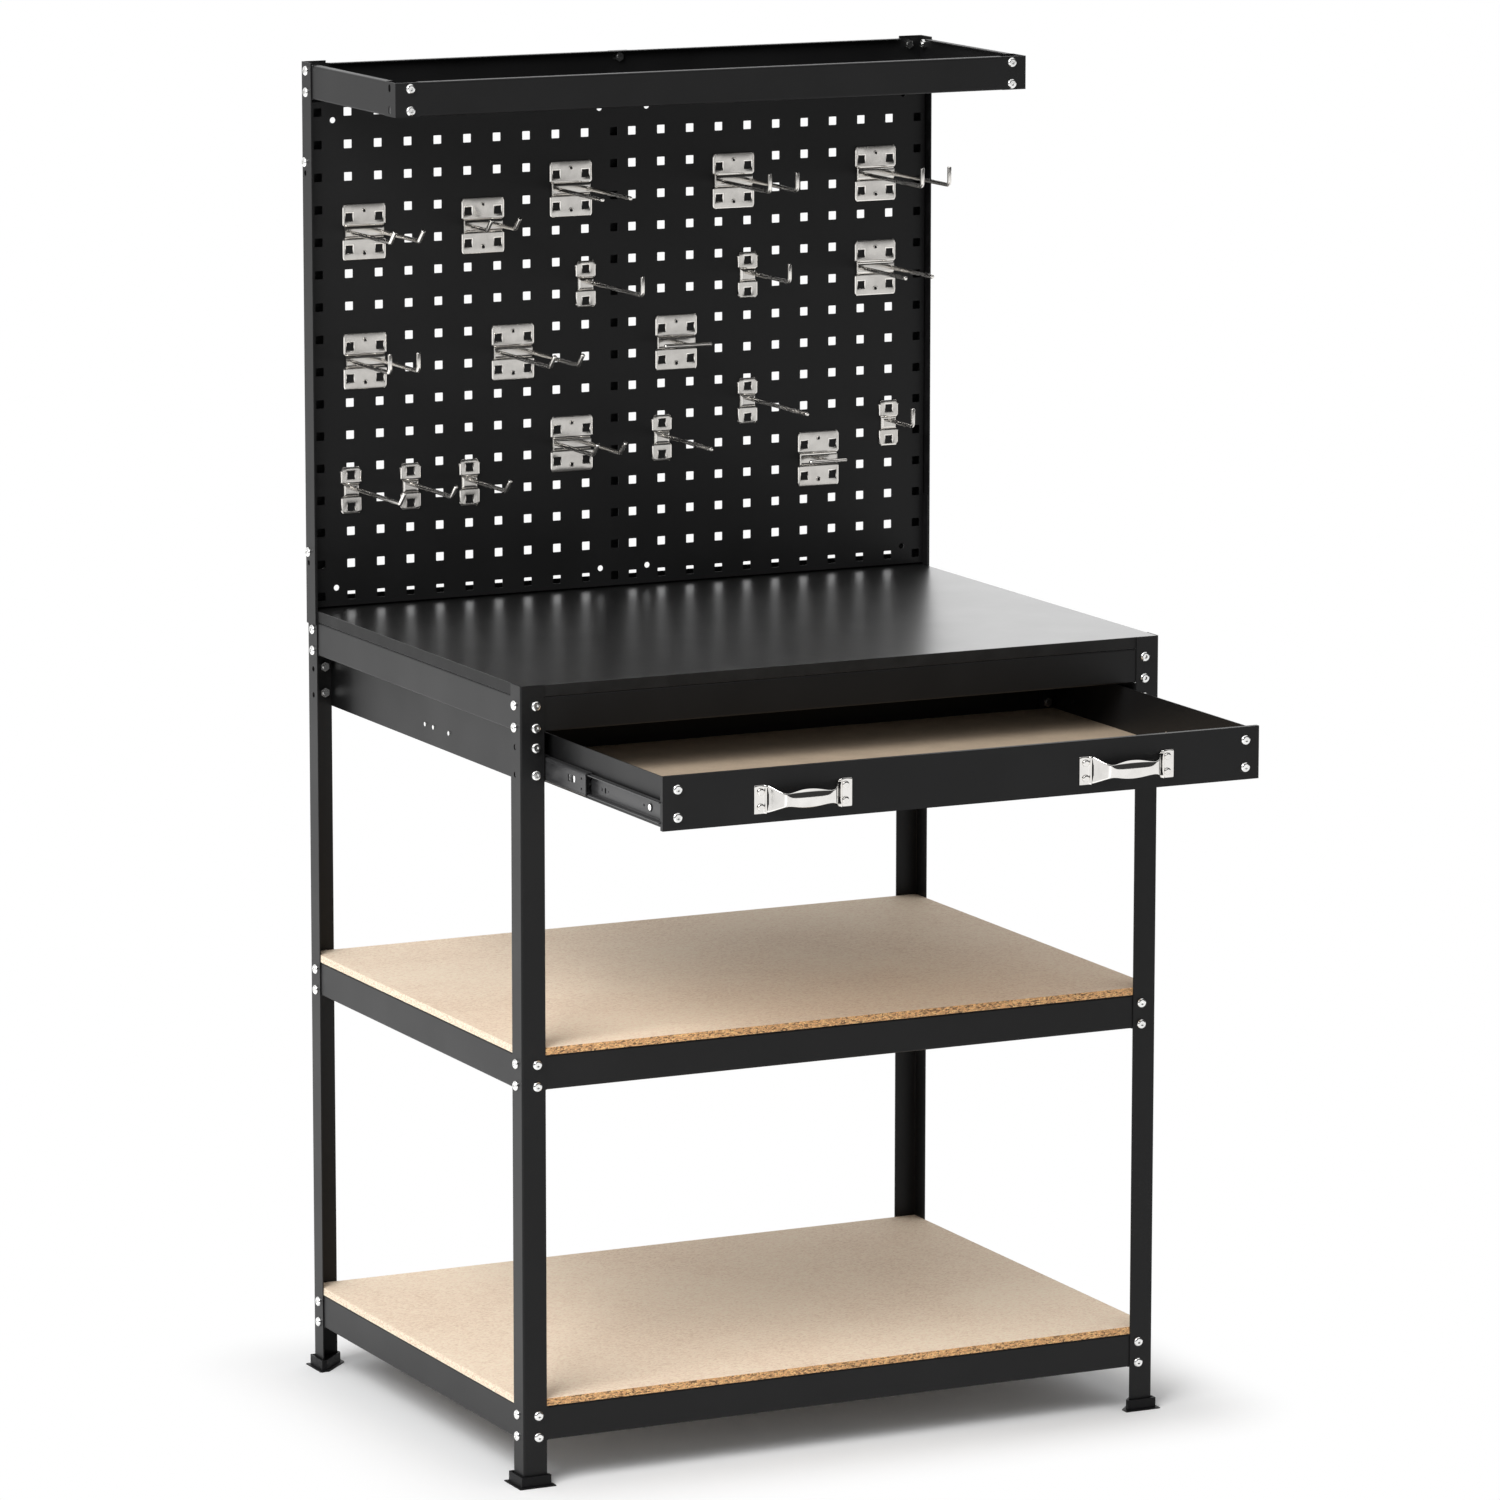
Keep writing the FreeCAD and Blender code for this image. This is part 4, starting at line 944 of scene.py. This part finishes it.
class WORKBENCH_OT_make_hook_plates(Operator):
    """Make the hooks' stamped plates, one of each kind, and hang copies on the panels"""
    bl_idname = "workbench.make_hook_plates"
    bl_label = "Hook plates"

    def execute(self, context):
        sizes, finishes = settings()
        wide = hook_plate(*WIDE_PLATE, (-PEG_PITCH / 2, PEG_PITCH / 2), sizes.hook_sheet)
        narrow = hook_plate(*NARROW_PLATE, (0,), sizes.hook_sheet)
        plates = []
        for pattern, hooks in ((wide, WIDE_HOOKS + CROSSBAR_HOOKS), (narrow, NARROW_HOOKS)):
            for side, column, row, *_ in hooks:
                x, z = hook_centre(side, column, row, pattern is wide)
                plates.append(copy_of(pattern, "plate", (x, 0, z)))
        for pattern in (wide, narrow):
            bpy.data.objects.remove(pattern)
        plates = merge("hook_stampings", plates)
        nickel = plated_metal("hook nickel", finishes.nickel, 0.17, 0.21, 0.1)
        hand_over(plates, nickel, "hook_metal", "frame", "hook_plates")
        # Painted highlight: the plates' sloped front faces, such as the rolled rims and band steps,
        # get a paler copy of the nickel
        rim = plated_metal("rolled rim painted highlight nickel", tinted(finishes.nickel, 1.55), 0.15, 0.20)
        paint(plates, rim, lambda f: -0.975 < f.normal.y < -0.15)
        floor = PANEL_FACE - sizes.hook_sheet - EYELET_FOOT - EYELET_FLOOR
        paint(plates, moulded_plastic("eyelet shadow", finishes.plastic),
              lambda f: near(middle_of(f).y, floor) and f.normal.y < -0.99)
        return {"FINISHED"}


def wire(name, x, z, start, end, tip, diameter):
    """A round wire that leaves the panel towards -Y and ends in a domed tip."""
    radius = diameter / 2
    dome = radius * 0.35
    degrees, rise = TIPS[tip]
    turn = math.radians(degrees)
    piece = add_disc(name, (x, start, z), radius, 16)
    heading = Vector((0, -math.cos(turn), math.sin(turn)))
    if turn:
        bend = 5 * MM
        tangent = bend * math.tan(turn / 2)
        pull_out((0, end + tangent - start, 0))
        bpy.ops.mesh.spin(steps=6, angle=turn, center=(x, end + tangent, z + bend), axis=(1, 0, 0))
        length = rise * MM / math.sin(turn) - dome
        pull_out(heading * (length - tangent))
        point = Vector((x, end, z)) + heading * length
    else:
        pull_out((0, end + dome - start, 0))
        point = Vector((x, end + dome, z))
    return dome_end(piece, point, heading * dome, ((0.5, 0.95), (0.85, 0.82), (1.0, 0.66)), 40)


def crossbar(x, y, z, length, radius):
    """A bar along X with its ends drawn in."""
    end = 1.2 * MM
    bar = add_disc("bar", (x - length / 2 + end, y, z), radius, 14, (0, math.pi / 2, 0))
    pull_out((length - 2 * end, 0, 0))
    pull_out((end, 0, 0))
    stretch((1, 0.55, 0.55), (x, y, z))
    choose(bar, "FACE", lambda f: f.normal.x < -0.9)
    pull_out((-end, 0, 0))
    stretch((1, 0.55, 0.55), (x, y, z))
    tidy_mesh(bar)
    return smooth(bar, 40)


class WORKBENCH_OT_make_hook_wires(Operator):
    """Make the hooks' prongs and crossbars"""
    bl_idname = "workbench.make_hook_wires"
    bl_label = "Hook wires"

    def execute(self, context):
        sizes, finishes = settings()
        # Painted highlight: the prongs and bars get a paler copy of the plates' nickel
        nickel = plated_metal("wire nickel lightened as painted highlight", tinted(finishes.nickel, 1.45), 0.20, 0.26)
        start = PANEL_FACE - 3.2 * MM
        prongs = []
        for hooks, places in ((WIDE_HOOKS, ((-18, 0), (18, 0))), (NARROW_HOOKS, ((0, 3),))):
            for side, column, row, reach, tip in hooks:
                x, z = hook_centre(side, column, row, hooks is WIDE_HOOKS)
                end = PANEL_FACE - reach * MM
                prongs += [wire("prong", x + across * MM, z + up * MM, start, end, tip, sizes.wire)
                           for across, up in places]
        hand_over(merge("hook_wires", prongs), nickel, "hook_metal", "frame", "hook_prongs")
        bars = []
        for side, column, row, reach, length in CROSSBAR_HOOKS:
            x, z = hook_centre(side, column, row, True)
            y = PANEL_FACE - reach * MM
            bars.append(wire("stem", x, z, start, y, "straight", sizes.wire))
            bars.append(crossbar(x, y, z, length * MM, sizes.wire / 2))
        hand_over(merge("hook_crossbars", bars), nickel, "hook_metal", "frame", "hook_bars")
        return {"FINISHED"}


# Operators: drawer slides

def distances(node):
    """How far the near and the far side of a node lie from the bench's middle."""
    return sorted(abs(corner.x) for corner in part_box(node))


def rolled_member(name, side, web, profile, start, stop, field=0):
    """A rolled channel from start to stop along Y: its web with windows, then each flange
    drawn out step by step. The web's middle is set back by field."""
    sizes, _ = settings()
    half, steps, windows = profile
    half *= MM
    windows = [(start + first * MM, start + last * MM,
                SLIDE_HEIGHT + low * MM, SLIDE_HEIGHT + high * MM)
               for first, last, low, high in windows]
    levels = [SLIDE_HEIGHT + way * (half - count * WEB_STEP) for way in (-1, 1) for count in (1, 2)]
    member = add_sheet(name, (side * web, (start + stop) / 2, SLIDE_HEIGHT), stop - start,
                       2 * half, (math.pi / 2, 0, math.pi / 2))
    cut_windows(member, 1, windows, levels=levels if field else ())
    if field:
        choose(member, "VERT", lambda v: abs(v.co.z - SLIDE_HEIGHT) < half - 1.5 * WEB_STEP)
        push((-side * field, 0, 0))
    for up in (-1, 1):
        edge = SLIDE_HEIGHT + up * half
        choose(member, "EDGE", lambda e: all(near(v.co.z, edge) for v in e.verts))
        for across, away in steps:
            pull_out((side * across * MM, 0, up * away * MM))
    tidy_mesh(member)
    finish_with(member, "SOLIDIFY", thickness=sizes.slide_sheet, offset=0)
    return smooth_flats(member, 30)


def retainer(name, side, web, front):
    """The bright plate that shows through the middle member's windows."""
    faces = sorted(side * (web - depth * MM) for depth in (1.25, 1.75))
    plate = add_block(f"slide_{name}_retainer", (faces[0], front + 24 * MM, SLIDE_HEIGHT - 5 * MM),
                      (faces[1], front + 50 * MM, SLIDE_HEIGHT + 7.5 * MM))
    choose(plate, "FACE", lambda f: f.normal.x * side > 0.9)
    bpy.ops.mesh.inset(thickness=1.2 * MM)
    push((side * 0.25 * MM, 0, 0))
    round_edges(plate, 0.15 * MM)
    return smooth_flats(plate, 30)


def end_stop(name, side, node):
    """The plastic stop inside the middle member, with its notched front."""
    low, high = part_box(node)
    outer = distances(node)[1] - 0.9 * MM
    ends = sorted((side * outer, side * (outer - 6.0 * MM)))
    stop = add_block(f"slide_{name}_stop", (ends[0], low.y, SLIDE_HEIGHT - 9.4 * MM),
                     (ends[1], high.y - 0.5 * MM, SLIDE_HEIGHT + 9.4 * MM))
    for level in (-5.5, -2.0, 2.0, 5.5):
        cut(2, SLIDE_HEIGHT + level * MM)
    choose(stop, "FACE", lambda f: f.normal.y < -0.9
           and 2 * MM < abs(middle_of(f).z - SLIDE_HEIGHT) < 5.5 * MM)
    push((0, 3.2 * MM, 0))
    round_edges(stop, 0.5 * MM)
    return smooth_flats(stop, 35)


def screw_places():
    """Where the inner members' screws are along Y: the middle of each cluster of the points
    of their heads."""
    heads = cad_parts["drawer_slide_rivets"]
    points = [heads.matrix_world @ vertex.co for vertex in heads.data.vertices]
    edge = SLIDE_HEIGHT + 3.4 * MM
    groups = []
    for y in sorted({round(point.y, 4) for point in points if point.z > edge}):
        if not groups or y - groups[-1][-1] > 20 * MM:
            groups.append([])
        groups[-1].append(y)
    return [(group[0] + group[-1]) / 2 for group in groups]


def painted_shadow_ring(side, y):
    """A dark ring of painted shadow under the head of a screw."""
    web = distances("slide_inner_right")[0] + 1.1 * MM
    ring = add_disc("painted_shadow_ring", (side * web, y, SLIDE_HEIGHT), 4.9 * MM, 24,
                    (0, side * math.pi / 2, 0))
    pull_out((side * 0.35 * MM, 0, 0))
    bpy.ops.mesh.inset(thickness=0.5 * MM)
    push((side * 0.12 * MM, 0, 0))
    tidy_mesh(ring)
    return smooth(ring, 40)


class WORKBENCH_OT_make_slides(Operator):
    """Make the drawer slides' moving members, stops, retainers and the rings of painted shadow
    under the screws
    """
    bl_idname = "workbench.make_slides"
    bl_label = "Drawer slides"

    def execute(self, context):
        _, finishes = settings()
        plating = slide_plating(finishes.slide)
        plastic = moulded_plastic("stop plastic", finishes.plastic)
        zinc = bright_zinc(finishes.zinc)
        for name, side in (("left", -1), ("right", 1)):
            inner, body, stop = (f"slide_{kind}_{name}" for kind in ("inner", "middle", "stop"))
            low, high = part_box(inner)
            web = distances(inner)[0] + 0.6 * MM
            member = rolled_member(f"slide_{name}_inner_member", side, web, INNER_PROFILE,
                                   low.y, high.y)
            hand_over(member, plating, "slide_steel", "drawer", inner)
            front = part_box(stop)[0].y + 0.9 * MM
            web = distances(body)[1] - 0.6 * MM
            member = rolled_member(f"slide_{name}_middle_member", side, web, MIDDLE_PROFILE,
                                   front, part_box(body)[1].y, WEB_FIELD)
            hand_over(member, plating, "slide_steel", body, body)
            hand_over(retainer(name, side, web, front), zinc, "slide_steel", body)
            hand_over(end_stop(name, side, stop), plastic, "black_plastic", body, stop)
        # Dark rings of painted shadow under the screw heads
        rings = [painted_shadow_ring(side, y) for side in (-1, 1) for y in screw_places()]
        hand_over(merge("slide_screw_painted_shadow_rings", rings), plastic, "black_plastic", "drawer")
        return {"FINISHED"}


# Operator: stage

def outside(make, value, low, high):
    """How far a coordinate lies outside a range, 0 within it."""
    offset = make.math("ABSOLUTE", make.math("SUBTRACT", value, (low + high) / 2))
    return make.larger(make.math("SUBTRACT", offset, (high - low) / 2), 0.0)


def lay_floor():
    """A pale floor that takes the bench's shadow and is plain white further out."""
    floor = add_sheet("floor", (0, 0, 0), 60, 60, (0, 0, 0))
    close_edit()
    make = Shading("studio floor")
    make.put(colour=(0.94, 0.945, 0.95), roughness=0.9, specular=0.0)
    x, y = (make.along(make.place, axis) for axis in (0, 1))
    low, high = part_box("leg_front_left")[0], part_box("leg_rear_right")[1]
    beside = outside(make, x, low.x, high.x)
    before = outside(make, y, low.y, high.y)
    squares = make.plus(make.times(beside, beside), make.times(before, before))
    far = make.band(make.math("POWER", squares, 0.5), 0.0, SHADOW_REACH, kind="SMOOTHSTEP")
    direct, glossy = make.seen_rays()
    # In reflections the floor is brightest just left of the bench
    left_side = make.band(x, -3.0, -0.9, 0.90, 1.5)
    right_side = make.band(x, -0.7, -0.2, 1.5, 1.0)
    mirrored = make.math("MINIMUM", left_side, right_side)
    glow = make.add("Emission", {"Strength": make.mean(direct, mirrored, 1.0)})
    share = make.times(make.larger(direct, glossy), far)
    make.feed(make.output, make.choice(share, make.surface, glow))
    floor.data.materials.append(make.material)


def light_surroundings(stage):
    """Even light, white where it is seen. In reflections a room in front is dark."""
    world = bpy.data.worlds.get("surroundings") or bpy.data.worlds.new("surroundings")
    bpy.context.scene.world = world
    world.use_nodes = True
    make = NodeWork(world.node_tree)
    direction = make.add("TexCoord", output="Generated")
    x, y, z = (make.along(direction, axis) for axis in (0, 1, 2))
    behind = make.plus(make.times(x, -0.35), make.times(y, 0.93))
    bright = make.band(x, -0.5, 0.4, 0.6 * stage.back_gloss, stage.back_gloss)
    toward_back = make.band(behind, -0.1, 0.45, kind="SMOOTHSTEP")
    room = make.larger(make.times(bright, toward_back), stage.front_gloss)
    ceiling = make.band(z, 0.64, 0.76, kind="SMOOTHSTEP")
    direct, glossy = make.seen_rays()
    soft, mirrored, white = (make.add("Background", {"Color": (1, 1, 1, 1), "Strength": strength})
                             for strength in (stage.sky, make.larger(room, ceiling), 1.0))
    output = make.tree.nodes.new("ShaderNodeOutputWorld").inputs["Surface"]
    make.feed(output, make.choice(direct, make.choice(glossy, soft, mirrored), white))


def add_light(name, place, target, width, height, power):
    clear_selection()
    bpy.ops.object.light_add(type="AREA", location=place)
    light = bpy.context.object
    light.name = name
    light.data.shape = "RECTANGLE"
    light.data.size, light.data.size_y = width, height
    light.data.energy = power
    light.rotation_euler = (Vector(target) - Vector(place)).to_track_quat("-Z", "Y").to_euler()
    light.visible_camera = False


def place_camera(lens):
    clear_selection()
    bpy.ops.object.camera_add()
    camera = bpy.context.object
    camera.name = "camera"
    camera.data.sensor_width = 36
    camera.data.lens = lens
    camera.data.clip_end = 100
    turn = Matrix((CAMERA_RIGHT, CAMERA_UP, -Vector(CAMERA_VIEW))).transposed()
    place = Vector(CAMERA_PLACE) + Vector((0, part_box("leg_rear_left")[1].y, 0))
    camera.matrix_world = Matrix.Translation(place) @ turn.to_4x4()
    bpy.context.scene.camera = camera


class WORKBENCH_OT_set_stage(Operator):
    """Set up the floor, the lights, the surroundings and the camera"""
    bl_idname = "workbench.set_stage"
    bl_label = "Stage"

    def execute(self, context):
        stage = context.scene.workbench_stage
        lay_floor()
        light_surroundings(stage)
        add_light("key_light", *KEY_LIGHT, stage.key_power)
        add_light("rim_light", *RIM_LIGHT, stage.rim_power)
        place_camera(stage.lens)
        context.scene.view_settings.view_transform = "Standard"
        return {"FINISHED"}


# Panel and registration

class VIEW3D_PT_workbench(Panel):
    bl_label = "Workbench"
    bl_idname = "VIEW3D_PT_workbench"
    bl_space_type = "VIEW_3D"
    bl_region_type = "UI"
    bl_category = "Workbench"

    def draw(self, context):
        layout = self.layout
        for group in GROUPS:
            box = layout.box()
            values = getattr(context.scene, group)
            for name in values.bl_rna.properties.keys():
                if name not in ("rna_type", "name"):
                    box.prop(values, name)
        for operator in OPERATORS:
            layout.operator(operator.bl_idname)


OPERATORS = (
    WORKBENCH_OT_coat_steel,
    WORKBENCH_OT_dress_small_parts,
    WORKBENCH_OT_make_worktop,
    WORKBENCH_OT_make_shelf_boards,
    WORKBENCH_OT_make_handles,
    WORKBENCH_OT_make_feet,
    WORKBENCH_OT_make_hook_plates,
    WORKBENCH_OT_make_hook_wires,
    WORKBENCH_OT_make_slides,
    WORKBENCH_OT_set_stage,
)
GROUPS = {"workbench_sizes": WorkbenchSizes, "workbench_finishes": WorkbenchFinishes,
          "workbench_stage": WorkbenchStage}
CLASSES = (*GROUPS.values(), VIEW3D_PT_workbench, *OPERATORS)


def register():
    for cls in CLASSES:
        bpy.utils.register_class(cls)
    for name, group in GROUPS.items():
        setattr(bpy.types.Scene, name, PointerProperty(type=group))


def unregister():
    for name in GROUPS:
        delattr(bpy.types.Scene, name)
    for cls in reversed(CLASSES):
        bpy.utils.unregister_class(cls)


def main():
    register()
    bpy.ops.workbench.coat_steel()
    bpy.ops.workbench.dress_small_parts()
    bpy.ops.workbench.make_worktop()
    bpy.ops.workbench.make_shelf_boards()
    bpy.ops.workbench.make_handles()
    bpy.ops.workbench.make_feet()
    bpy.ops.workbench.make_hook_plates()
    bpy.ops.workbench.make_hook_wires()
    bpy.ops.workbench.make_slides()
    bpy.ops.workbench.set_stage()


if __name__ == "__main__":
    main()
